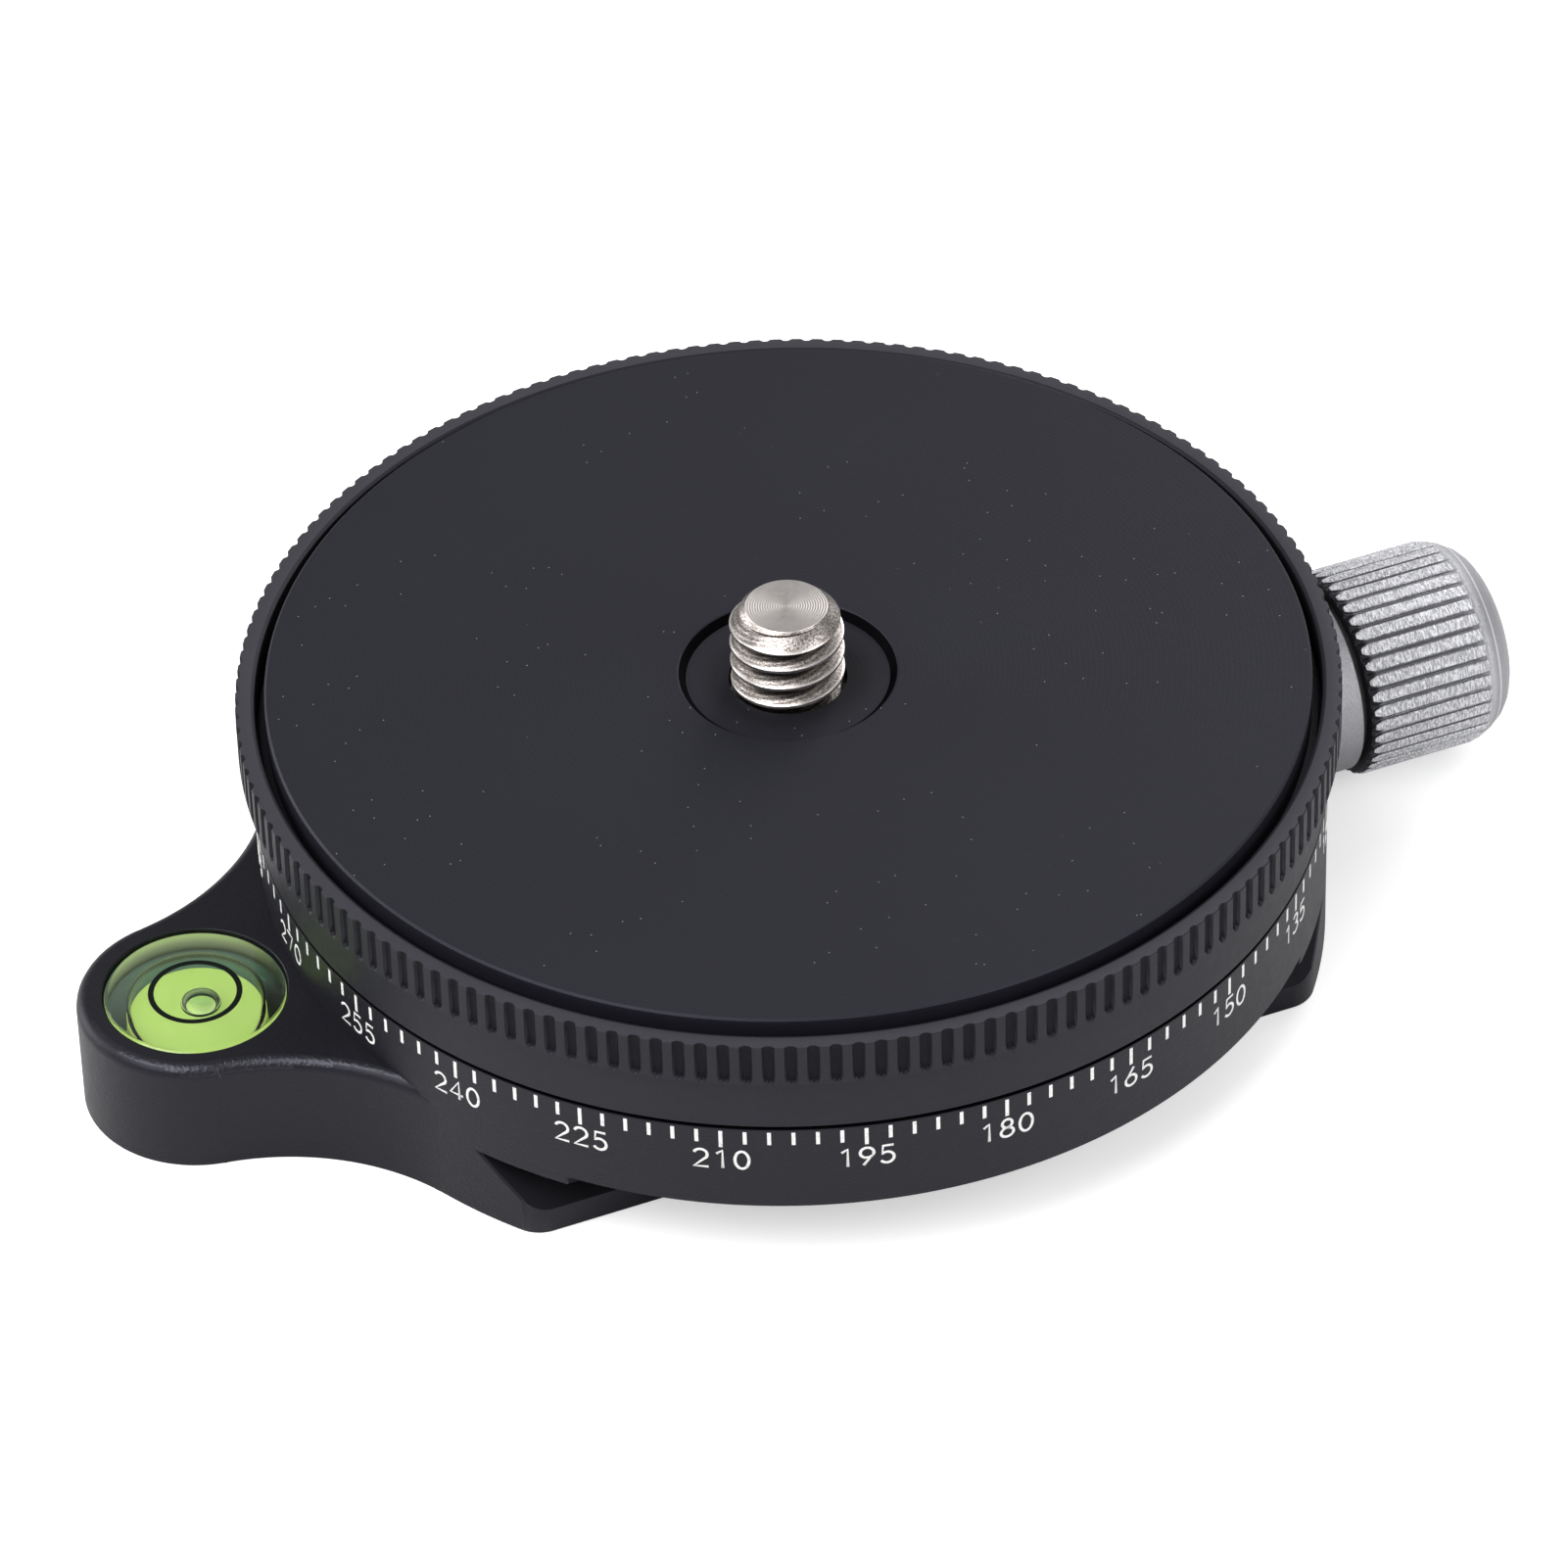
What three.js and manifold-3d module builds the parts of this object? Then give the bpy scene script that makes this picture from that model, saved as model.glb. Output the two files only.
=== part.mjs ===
// Panoramic panning base: a low round stator with a degree ring, a 38 mm dovetail foot and a level
// lug, carrying a knurled platform that turns on a spindle and is held by a side lock knob.
// Millimetres, +Z up. The origin is on the pan axis, level with the underside of the foot.
// +X points to the lock knob, -X to the level lug, and the 180 degree mark faces -Y.

import * as THREE from 'three';
import { mergeVertices } from 'three/addons/utils/BufferGeometryUtils.js';
import Module from 'manifold-3d';

const wasm = await Module();
wasm.setup();

// Facets of round surfaces, by how large they are
const ringFacets = 72;
const boreFacets = 36;
const pinFacets = 20;
const screwFacets = 10;

// How far a cutting tool reaches past the face that it cuts
const overrun = 1;

// Clearances: between faces that rest on each other, around fixed pins, and around turning parts
const seatGap = 0.05;
const pinGap = 0.1;
const turnGap = 0.08;

// Stator: graduated ring, heights measured up from the underside of the foot
const ringRadius = 30;
const ringTop = 10.75;
const ringEdge = 0.2;

// Dovetail foot: widest across its vertical lips, then narrowing at 45 degrees up to a groove roof
const dovetailWidth = 38;
const lipHeight = 1.65;
const grooveRoof = 4.55;
const roofStep = 0.55;
const roofStepOutward = 1.5;
const footCornerRadius = 2;

// Level lug and its round vial
const lugOffset = 35.7;
const lugRadius = 6.6;
const lugFillet = 14;
const lugTop = 7.05;
const lugRounding = 0.7;
const vialRadius = 5.05;
const vialSink = 0.1;
const vialWall = 1.2;
const vialWindow = 0.55;
const vialDome = 0.35;
const vialEdge = 0.3;
const vialHeight = 4.55;
const levelBaseThickness = 0.5;
const levelPlugRise = 1.65;
const bubbleRadius = 1.13;
const bubbleDepth = 1.6;

// Bore of the stator, from below: cavity of the retaining ring, shoulder, spindle bore, bush seat
const spindleRadius = 13.5;
const spindleNeckRadius = 12;
const shoulderThickness = 1;
const shoulderGap = 0.2;
const bushWall = 1.5;
const bushHeight = 2;
const washerRim = 0.92;
const washerWidth = 10;
const washerThickness = 1;
const washerProud = 0.37;

// Retaining ring under the shoulder, with the thin washer that it runs on
const ringWidthBelow = 2.3;
const retainerThickness = 1;
const lowerWasherThickness = 0.3;

// Bottom cover with the tripod boss, and the threaded steel insert in it
const coverThickness = 1.5;
const coverSink = 0.1;
const coverHalfLength = 19.5;
const coverHalfWidth = 16;
const coverCorner = 5;
const bossRadius = 7.6;
const bossHeight = 7.4;
const insertRadius = 6;
const insertFlangeRadius = 6.8;
const insertFlangeThickness = 0.8;
const socketMajor = 4.7625;
const socketMinor = 3.97;
const socketPitch = 1.5875;
const socketLead = 0.6;

// Rotating platform: smooth band, fluted rim and web
const runGap = 0.14;
const bandHeight = 3.56;
const rimStand = 0.7;
const rimHeight = 2.8;
const fluteDepth = 0.22;
const fluteCount = 160;
const fluteLandShare = 0.54;
const platformRecessRim = 0.8;
const webThickness = 3.7;
const bossCavityGap = 0.6;
const bossCavityRoom = 1;

// Top plate: raised seat with the shallow dish around the stud
const plateRadius = 29.05;
const plateProud = 0.55;
const plateGroove = 0.55;
const plateEdge = 0.12;
const plateFoot = 0.85;
const plateFootGap = 0.2;
const dishRadius = 6.1;
const dishDepth = 0.43;

// Camera stud, 1/4 inch with 20 threads to the inch, and its hexagon head
const studRadius = 3.175;
const studPitch = 1.27;
const studRoot = 2.4;
const studStand = 4.58;
const studPoint = 0.9;
const studPhaseShare = 0.244;
const studHeadFlats = 11.11;
const studHeadHeight = 2.4;

// Flat head screws: shank, head and hexagon socket
const plateScrew = { shank: 1.5, head: 2.8, headHeight: 1.4, socket: 1, socketDepth: 0.9, length: 5.4 };
const smallScrew = { shank: 1, head: 1.7, headHeight: 0.7, socket: 0.6, socketDepth: 0.5, length: 4.2 };
const screwSink = 0.06;
const plateScrewCircle = 20.5;
const retainerScrewCircle = 10.3;
const coverScrewX = 16.6;
const coverScrewY = 11;
const screwCount = 4;

// Lock: knob, screw, brake shoe and threaded bush, all on one axis along +X
const lockHeight = 6.05;
const shoeRadius = 1.6;
const shoeLength = 5.2;
const shoeGap = 0.08;
const lockScrewRadius = 2.5;
const lockTipRadius = 0.9;
const lockTipLength = 1;
const lockBushWall = 0.8;
const lockBushSink = 0.6;
const knobGap = 0.15;
const knobLength = 12.75;
const knobNeckRadius = 5.45;
const knobNeckEdge = 0.35;
const knobNeckLength = 2.45;
const knobGrooveRadius = 5.05;
const knobGrooveWidth = 0.5;
const knobRadius = 6;
const knobRim = 2.3;
const knobFaceRadius = 3.5;
const knobFluteDepth = 0.38;
const knobFluteCount = 40;
const knobLandShare = 0.5;
const knobFluteEnd = 0.45;
const knobBoreDepth = 8;

// Heights and radii that follow from the sizes above
const footHalf = dovetailWidth / 2;
const neckHalf = footHalf - (grooveRoof - lipHeight);
const ringUnderside = grooveRoof + roofStep;
const coverTop = coverSink + coverThickness;
const retainerRadius = spindleNeckRadius + ringWidthBelow;
const retainerBottom = coverTop + 2 * pinGap;
const retainerTop = retainerBottom + retainerThickness;
const shoulderBottom = retainerTop + lowerWasherThickness + 2 * seatGap;
const shoulderTop = shoulderBottom + shoulderThickness;
const spindleStep = shoulderTop + shoulderGap;
const cavityRadius = retainerRadius + 3 * pinGap;
const shoulderBore = spindleNeckRadius + 2 * pinGap;
const spindleBore = spindleRadius + 2 * pinGap;
const bushOuter = spindleRadius + turnGap + bushWall;
const washerTop = ringTop + washerProud;
const washerFloor = washerTop - washerThickness - seatGap;
const bushBottom = ringTop - pinGap - bushHeight;
const washerInner = bushOuter + washerRim;
const washerOuter = washerInner + washerWidth;
const washerPocket = washerOuter + pinGap;
const platformRecessRadius = washerOuter + platformRecessRim;
const platformBottom = ringTop + runGap;
const platformUnderside = washerTop + seatGap;
const bandTop = platformBottom + bandHeight;
const rimTop = bandTop + rimHeight;
const rimRadius = ringRadius + rimStand;
const rimBore = plateRadius + plateGroove;
const webTop = platformUnderside + webThickness;
const bossCavityRadius = bossRadius + bossCavityGap;
const bossCavityTop = bossHeight + insertFlangeThickness + bossCavityRoom;
const plateTop = rimTop + plateProud;
const plateBottom = webTop + seatGap;
const headBottom = webTop - studHeadHeight;
const studTop = plateTop + studStand;
const vialTop = lugTop - vialSink;
const vialBottom = vialTop - vialHeight;
const levelBaseBottom = vialBottom - seatGap - levelBaseThickness;
const fluidRadius = vialRadius - vialWall;
const fluidTop = vialTop - vialWindow - vialDome;
const levelPlugTop = vialBottom + levelPlugRise;
const shoeStart = spindleRadius + shoeGap;
const shoeEnd = shoeStart + shoeLength;
const screwStart = shoeEnd + seatGap;
const lockBushStart = screwStart - pinGap;
const lockBushRadius = lockScrewRadius + pinGap + lockBushWall;
const lockBushEnd = ringRadius - lockBushSink;
const knobStart = ringRadius + knobGap;

const finishes = {
  blackAnodised: { color: 0x2b2b30, roughness: 0.5, metalness: 0.6 },
  blackPlate: { color: 0x303036, roughness: 0.6, metalness: 0.5 },
  satinSilver: { color: 0xb9bac0, roughness: 0.35, metalness: 0.9 },
  stainless: { color: 0xc9c2bd, roughness: 0.25, metalness: 1 },
  darkSteel: { color: 0x3a3a3d, roughness: 0.4, metalness: 0.9 },
  brass: { color: 0xc2a14f, roughness: 0.35, metalness: 1 },
  acetal: { color: 0xe9e6dc, roughness: 0.6, metalness: 0 },
  clearAcrylic: { color: 0xdcefc8, roughness: 0.05, metalness: 0, opacity: 0.4, transparent: true },
  greenFluid: { color: 0x9be04a, roughness: 0.05, metalness: 0, opacity: 0.6, transparent: true },
  greenBase: { color: 0x9fe05a, roughness: 0.5, metalness: 0 },
};

// Turns a closed geometry into a solid whose faces point outwards
function solidOf(geometry) {
  const bare = geometry.index ? geometry.toNonIndexed() : geometry.clone();
  bare.deleteAttribute('normal');
  bare.deleteAttribute('uv');
  const welded = mergeVertices(bare);
  const places = welded.attributes.position.array;
  const kept = [];
  const corner = [new THREE.Vector3(), new THREE.Vector3(), new THREE.Vector3()];
  let sixfoldVolume = 0;
  for (let i = 0; i < welded.index.count; i += 3) {
    const face = [0, 1, 2].map((step) => welded.index.getX(i + step));
    if (face[0] === face[1] || face[1] === face[2] || face[2] === face[0]) continue;
    face.forEach((vertex, step) => corner[step].fromArray(places, 3 * vertex));
    sixfoldVolume += corner[0].dot(corner[1].cross(corner[2]));
    kept.push(...face);
  }
  if (sixfoldVolume < 0) kept.reverse();
  return new wasm.Manifold(new wasm.Mesh({
    numProp: 3,
    vertProperties: new Float32Array(places),
    triVerts: new Uint32Array(kept),
  }));
}

function meshOf(name, solid, finish) {
  const { vertProperties, triVerts } = solid.getMesh();
  const geometry = new THREE.BufferGeometry();
  geometry.setAttribute('position', new THREE.BufferAttribute(new Float32Array(vertProperties), 3));
  geometry.setIndex(new THREE.BufferAttribute(new Uint32Array(triVerts), 1));
  geometry.computeVertexNormals();
  const mesh = new THREE.Mesh(geometry, new THREE.MeshStandardMaterial(finishes[finish]));
  mesh.name = name;
  return mesh;
}

// A profile of [radius, height] points turned round the Z axis
function turned(profile, facets) {
  const points = profile.map(([radius, height]) => new THREE.Vector2(radius, height));
  return new THREE.LatheGeometry(points, facets).rotateX(Math.PI / 2);
}

function cylinder(radius, bottom, top, facets) {
  return turned([[0, bottom], [radius, bottom], [radius, top], [0, top]], facets);
}

function tube(inner, outer, bottom, top, facets) {
  return turned([[inner, bottom], [outer, bottom], [outer, top], [inner, top], [inner, bottom]], facets);
}

// The same, lying along the lock's axis: heights become distances along +X
function alongLock(geometry) {
  return geometry.rotateY(Math.PI / 2).translate(0, 0, lockHeight);
}

// An outline of [x, y] points raised from one height to another
function raised(outline, bottom, top) {
  const shape = new THREE.Shape(outline.map(([x, y]) => new THREE.Vector2(x, y)));
  const options = { depth: top - bottom, bevelEnabled: false };
  return new THREE.ExtrudeGeometry(shape, options).translate(0, 0, bottom);
}

function arc(centreX, centreY, radius, from, to, steps) {
  const points = [];
  for (let i = 0; i <= steps; i++) {
    const angle = from + (to - from) * i / steps;
    points.push([centreX + radius * Math.cos(angle), centreY + radius * Math.sin(angle)]);
  }
  return points;
}

function regularOutline(flats, sides) {
  const corner = flats / 2 / Math.cos(Math.PI / sides);
  return arc(0, 0, corner, 0, 2 * Math.PI * (1 - 1 / sides), sides - 1);
}

// Ring outline with straight V grooves; the land's share is of one pitch, at the crest
function flutedOutline(crest, root, count, landShare) {
  const outline = [];
  const corners = [
    [crest, -landShare / 2],
    [crest, landShare / 2],
    [root, 1 / 2],
  ];
  for (let i = 0; i < count; i++) {
    for (const [radius, share] of corners) {
      const angle = 2 * Math.PI * (i + share) / count;
      outline.push([radius * Math.cos(angle), radius * Math.sin(angle)]);
    }
  }
  return outline;
}

// Screw thread: a 60 degree ridge wound right-handed from the given height, joined to its core
function threadedRod(root, crest, pitch, bottom, top, ridgeStart) {
  const stepsPerTurn = 16;
  const crestShare = 1 / 8;
  const baseShare = 7 / 8;
  const sunk = root - (crest - root) / 2;
  const section = [
    [sunk, -baseShare / 2],
    [root, -baseShare / 2],
    [crest, -crestShare / 2],
    [crest, crestShare / 2],
    [root, baseShare / 2],
    [sunk, baseShare / 2],
  ];
  const sides = section.length;
  const steps = Math.ceil((top - ridgeStart) / pitch + 1) * stepsPerTurn;
  const places = [];
  const faces = [];
  for (let i = 0; i <= steps; i++) {
    const turn = i / stepsPerTurn;
    for (const [radius, share] of section) {
      const angle = 2 * Math.PI * turn;
      places.push(radius * Math.cos(angle), radius * Math.sin(angle), ridgeStart + (turn + share) * pitch);
    }
  }
  for (let i = 0; i < steps; i++) {
    for (let j = 0; j < sides; j++) {
      const next = (j + 1) % sides;
      const [a, b] = [i * sides + j, i * sides + next];
      faces.push(a, b, b + sides, a, b + sides, a + sides);
    }
  }
  for (let j = 1; j < sides - 1; j++) {
    faces.push(0, j + 1, j);
    faces.push(steps * sides, steps * sides + j, steps * sides + j + 1);
  }
  const ridge = new THREE.BufferGeometry();
  ridge.setAttribute('position', new THREE.Float32BufferAttribute(places, 3));
  ridge.setIndex(faces);
  return solidOf(cylinder(root, bottom, top, stepsPerTurn)).add(solidOf(ridge));
}

// Outline of the lug: its round end and the two hollow fillets that run into the ring
function lugOutline() {
  const fromAxis = ringRadius + lugFillet;
  const fromLug = lugRadius + lugFillet;
  const x = (fromLug ** 2 - fromAxis ** 2 - lugOffset ** 2) / (2 * lugOffset);
  const y = Math.sqrt(fromAxis ** 2 - x ** 2);
  const towardsAxis = Math.atan2(-y, -x);
  const towardsLug = Math.atan2(-y, -lugOffset - x);
  const roundEnd = Math.atan2(y, x + lugOffset);
  const filletSteps = 7;
  const endSteps = 16;
  return [
    ...arc(x, y, lugFillet, towardsAxis, towardsLug, filletSteps),
    ...arc(-lugOffset, 0, lugRadius, roundEnd, 2 * Math.PI - roundEnd, endSteps).slice(1),
    ...arc(x, -y, lugFillet, -towardsLug, -towardsAxis, filletSteps).slice(1),
    [0, 0],
  ];
}

function lugSolid() {
  const shape = new THREE.Shape(lugOutline().map(([x, y]) => new THREE.Vector2(x, y)));
  const options = {
    depth: lugTop - lugRounding + overrun,
    bevelThickness: lugRounding,
    bevelSize: lugRounding,
    bevelOffset: -lugRounding,
    bevelSegments: 2,
  };
  const raisedLug = new THREE.ExtrudeGeometry(shape, options).translate(0, 0, -overrun);
  const ground = new THREE.BoxGeometry(4 * lugOffset, 4 * lugOffset, 2 * lugOffset);
  return solidOf(raisedLug).subtract(solidOf(ground.translate(0, 0, -lugOffset)));
}

// The two side grooves of the dovetail, cut along X
function dovetailGrooves() {
  const reach = ringRadius + overrun;
  const roofEdge = footHalf + roofStepOutward;
  const section = [
    [footHalf, -overrun],
    [footHalf, lipHeight],
    [neckHalf, grooveRoof],
    [roofEdge, grooveRoof],
    [roofEdge, ringUnderside],
    [reach, ringUnderside],
    [reach, -overrun],
  ];
  const grooves = [1, -1].map((side) => {
    const outline = section.map(([y, z]) => [side * y, z]);
    const groove = raised(outline, -reach, reach);
    return solidOf(groove.rotateX(Math.PI / 2).rotateZ(Math.PI / 2));
  });
  return grooves[0].add(grooves[1]);
}

// Rounds the four upright corners where the foot's lips meet the round wall
function footCorners() {
  const reach = ringRadius + overrun;
  const y = footHalf - footCornerRadius;
  const x = Math.sqrt((ringRadius - footCornerRadius) ** 2 - y ** 2);
  const facing = Math.atan2(y, x);
  const outline = [
    ...arc(x, y, footCornerRadius, facing, Math.PI / 2, 5),
    [x, reach],
    [reach * Math.cos(facing), reach],
    [reach * Math.cos(facing), reach * Math.sin(facing)],
  ];
  const corners = [];
  for (const sideX of [1, -1]) {
    for (const sideY of [1, -1]) {
      const turnedOutline = outline.map(([a, b]) => [sideX * a, sideY * b]);
      corners.push(solidOf(raised(turnedOutline, -overrun, grooveRoof)));
    }
  }
  return corners.reduce((joined, corner) => joined.add(corner));
}

function roundedRectangle(halfLength, halfWidth, corner) {
  const x = halfLength - corner;
  const y = halfWidth - corner;
  const quarter = Math.PI / 2;
  const steps = 5;
  return [[x, y], [-x, y], [-x, -y], [x, -y]].flatMap(([centreX, centreY], i) => (
    arc(centreX, centreY, corner, i * quarter, (i + 1) * quarter, steps)
  ));
}

// Places of fasteners: on a circle, or at the corners of the cover
function onCircle(radius) {
  const places = [];
  for (let i = 0; i < screwCount; i++) {
    const angle = 2 * Math.PI * (i + 0.5) / screwCount;
    places.push([radius * Math.cos(angle), radius * Math.sin(angle)]);
  }
  return places;
}

const coverScrewPlaces = [
  [coverScrewX, coverScrewY],
  [-coverScrewX, coverScrewY],
  [-coverScrewX, -coverScrewY],
  [coverScrewX, -coverScrewY],
];

// A flat head screw driven upwards, its head's face at the given height
function flatScrew(size, faceHeight) {
  const { shank, head, headHeight, socket, socketDepth, length } = size;
  const body = turned([
    [0, faceHeight],
    [head, faceHeight],
    [shank, faceHeight + headHeight],
    [shank, faceHeight + length],
    [0, faceHeight + length],
  ], screwFacets);
  const hexagon = raised(regularOutline(2 * socket, 6), faceHeight - overrun, faceHeight + socketDepth);
  return solidOf(body).subtract(solidOf(hexagon));
}

// The countersunk hole for that screw, cut from the face that it enters
function flatScrewHole(size, faceHeight, entry) {
  const { shank, head, headHeight, length } = size;
  return solidOf(turned([
    [0, entry - overrun],
    [head + pinGap, entry - overrun],
    [head + pinGap, faceHeight],
    [shank + pinGap, faceHeight + headHeight],
    [shank + pinGap, faceHeight + length + pinGap],
    [0, faceHeight + length + pinGap],
  ], screwFacets));
}

function drilled(solid, hole, places) {
  return places.reduce((cut, [x, y]) => cut.subtract(hole.translate([x, y, 0])), solid);
}

function addScrews(group, name, size, faceHeight, places, finish) {
  const screw = flatScrew(size, faceHeight);
  places.forEach(([x, y], i) => {
    const mesh = meshOf(`${name}_${i + 1}`, screw, finish);
    mesh.position.set(x, y, 0);
    group.add(mesh);
  });
}

const coverScrewFace = coverSink + screwSink;
const retainerScrewFace = retainerBottom + screwSink;
const plateScrewFace = platformUnderside + screwSink;

function makeBaseBody() {
  const ring = turned([
    [0, 0],
    [ringRadius, 0],
    [ringRadius, ringTop - ringEdge],
    [ringRadius - ringEdge, ringTop],
    [0, ringTop],
  ], ringFacets);
  const bore = turned([
    [0, -overrun],
    [cavityRadius, -overrun],
    [cavityRadius, shoulderBottom],
    [shoulderBore, shoulderBottom],
    [shoulderBore, shoulderTop],
    [spindleBore, shoulderTop],
    [spindleBore, bushBottom - seatGap],
    [bushOuter + pinGap, bushBottom - seatGap],
    [bushOuter + pinGap, washerFloor],
    [washerPocket, washerFloor],
    [washerPocket, ringTop + overrun],
    [0, ringTop + overrun],
  ], boreFacets);
  const coverSeat = roundedRectangle(
    coverHalfLength + pinGap,
    coverHalfWidth + pinGap,
    coverCorner + pinGap,
  );
  const vialPocket = cylinder(
    vialRadius + pinGap,
    levelBaseBottom - seatGap,
    lugTop + overrun,
    boreFacets,
  ).translate(-lugOffset, 0, 0);
  const shoeHole = cylinder(shoeRadius + pinGap, spindleRadius, lockBushStart, pinFacets);
  const lockBushHole = cylinder(
    lockBushRadius + pinGap,
    lockBushStart - seatGap,
    ringRadius + overrun,
    pinFacets,
  );
  const body = solidOf(ring)
    .add(lugSolid())
    .subtract(dovetailGrooves())
    .subtract(footCorners())
    .subtract(solidOf(bore))
    .subtract(solidOf(raised(coverSeat, -overrun, coverTop + seatGap)))
    .subtract(solidOf(vialPocket))
    .subtract(solidOf(alongLock(shoeHole)))
    .subtract(solidOf(alongLock(lockBushHole)));
  return drilled(body, flatScrewHole(smallScrew, coverScrewFace, coverSink), coverScrewPlaces);
}

function makeBottomCover() {
  const plate = roundedRectangle(coverHalfLength, coverHalfWidth, coverCorner);
  const boss = cylinder(bossRadius, coverSink + coverThickness / 2, bossHeight, boreFacets);
  const bore = cylinder(insertRadius + pinGap, -overrun, bossHeight + overrun, boreFacets);
  const cover = solidOf(raised(plate, coverSink, coverTop))
    .add(solidOf(boss))
    .subtract(solidOf(bore));
  return drilled(cover, flatScrewHole(smallScrew, coverScrewFace, coverSink), coverScrewPlaces);
}

function makeTripodInsert() {
  const flangeBottom = bossHeight + seatGap;
  const flangeTop = flangeBottom + insertFlangeThickness;
  const sleeve = turned([
    [0, coverSink],
    [insertRadius, coverSink],
    [insertRadius, flangeBottom],
    [insertFlangeRadius, flangeBottom],
    [insertFlangeRadius, flangeTop],
    [0, flangeTop],
  ], boreFacets);
  const leadIn = turned([
    [0, coverSink - overrun],
    [socketMajor + socketLead + overrun, coverSink - overrun],
    [socketMinor, coverSink + socketMajor + socketLead - socketMinor],
    [0, coverSink + socketMajor + socketLead - socketMinor],
  ], pinFacets);
  const thread = threadedRod(
    socketMinor,
    socketMajor,
    socketPitch,
    -overrun,
    flangeTop + overrun,
    -overrun,
  );
  return solidOf(sleeve).subtract(thread).subtract(solidOf(leadIn));
}

function makeVial() {
  const wallInner = fluidRadius + seatGap;
  const ceiling = fluidTop + seatGap;
  return solidOf(turned([
    [wallInner, vialBottom],
    [vialRadius, vialBottom],
    [vialRadius, vialTop - vialEdge],
    [vialRadius - vialEdge, vialTop],
    [0, vialTop],
    [0, ceiling + vialDome],
    [wallInner / 2, ceiling + vialDome * 3 / 4],
    [wallInner, ceiling],
    [wallInner, vialBottom],
  ], boreFacets)).translate([-lugOffset, 0, 0]);
}

// The liquid fills the vial from the plug up to its domed roof, less the hollow of the bubble
function makeFluid() {
  const bottom = levelPlugTop + seatGap;
  const hollow = fluidTop + vialDome - bubbleDepth;
  return solidOf(turned([
    [0, bottom],
    [fluidRadius, bottom],
    [fluidRadius, fluidTop],
    [fluidRadius / 2, fluidTop + vialDome * 3 / 4],
    [bubbleRadius * 3 / 4, fluidTop + vialDome * 7 / 8],
    [bubbleRadius, hollow + bubbleDepth * 5 / 8],
    [bubbleRadius * 2 / 3, hollow + bubbleDepth / 6],
    [0, hollow],
  ], pinFacets)).translate([-lugOffset, 0, 0]);
}

// The disc under the vial, with the plug that closes the liquid's chamber from below
function makeLevelBase() {
  const rest = vialBottom - seatGap;
  return solidOf(turned([
    [0, levelBaseBottom],
    [vialRadius - pinGap, levelBaseBottom],
    [vialRadius - pinGap, rest],
    [fluidRadius, rest],
    [fluidRadius, levelPlugTop],
    [0, levelPlugTop],
  ], pinFacets)).translate([-lugOffset, 0, 0]);
}

function makeLockBush() {
  const inner = lockScrewRadius + pinGap;
  return solidOf(alongLock(tube(inner, lockBushRadius, lockBushStart, lockBushEnd, pinFacets)));
}

function makePlatform() {
  const disc = turned([
    [0, platformUnderside],
    [platformRecessRadius, platformUnderside],
    [platformRecessRadius, platformBottom],
    [ringRadius, platformBottom],
    [ringRadius, rimTop],
    [rimBore, rimTop],
    [rimBore, webTop],
    [0, webTop],
  ], ringFacets);
  const spindle = turned([
    [0, retainerTop],
    [spindleNeckRadius, retainerTop],
    [spindleNeckRadius, spindleStep],
    [spindleRadius, spindleStep],
    [spindleRadius, (platformUnderside + webTop) / 2],
    [0, (platformUnderside + webTop) / 2],
  ], boreFacets);
  const rimRoot = rimRadius - fluteDepth;
  const rimOutline = flutedOutline(rimRadius, rimRoot, fluteCount, fluteLandShare);
  const rimHollow = cylinder((rimBore + ringRadius) / 2, bandTop - overrun, rimTop + overrun, ringFacets);
  const rim = solidOf(raised(rimOutline, bandTop, rimTop)).subtract(solidOf(rimHollow));
  const bossCavity = cylinder(bossCavityRadius, 0, bossCavityTop, boreFacets);
  const headFlats = studHeadFlats + 2 * pinGap;
  const headPocket = raised(regularOutline(headFlats, 6), headBottom - seatGap, webTop + overrun);
  let platform = solidOf(disc)
    .add(solidOf(spindle))
    .add(rim)
    .subtract(solidOf(bossCavity))
    .subtract(solidOf(headPocket));
  const plateHole = flatScrewHole(plateScrew, plateScrewFace, platformUnderside);
  platform = drilled(platform, plateHole, onCircle(plateScrewCircle));
  const retainerHole = flatScrewHole(smallScrew, retainerScrewFace, retainerBottom);
  return drilled(platform, retainerHole, onCircle(retainerScrewCircle));
}

function makeTopPlate() {
  const foot = plateBottom + plateFoot;
  const plate = solidOf(turned([
    [0, plateBottom],
    [rimBore - plateFootGap, plateBottom],
    [rimBore - plateFootGap, foot],
    [plateRadius, foot],
    [plateRadius, plateTop - plateEdge],
    [plateRadius - plateEdge, plateTop],
    [0, plateTop],
  ], ringFacets));
  const dish = turned([
    [0, plateTop - dishDepth],
    [dishRadius - dishDepth, plateTop - dishDepth],
    [dishRadius + overrun, plateTop + overrun],
    [0, plateTop + overrun],
  ], boreFacets);
  const studHole = cylinder(studRadius + pinGap, plateBottom - overrun, plateTop, pinFacets);
  const cut = plate.subtract(solidOf(dish)).subtract(solidOf(studHole));
  const hole = flatScrewHole(plateScrew, plateScrewFace, platformUnderside);
  return drilled(cut, hole, onCircle(plateScrewCircle));
}

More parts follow.
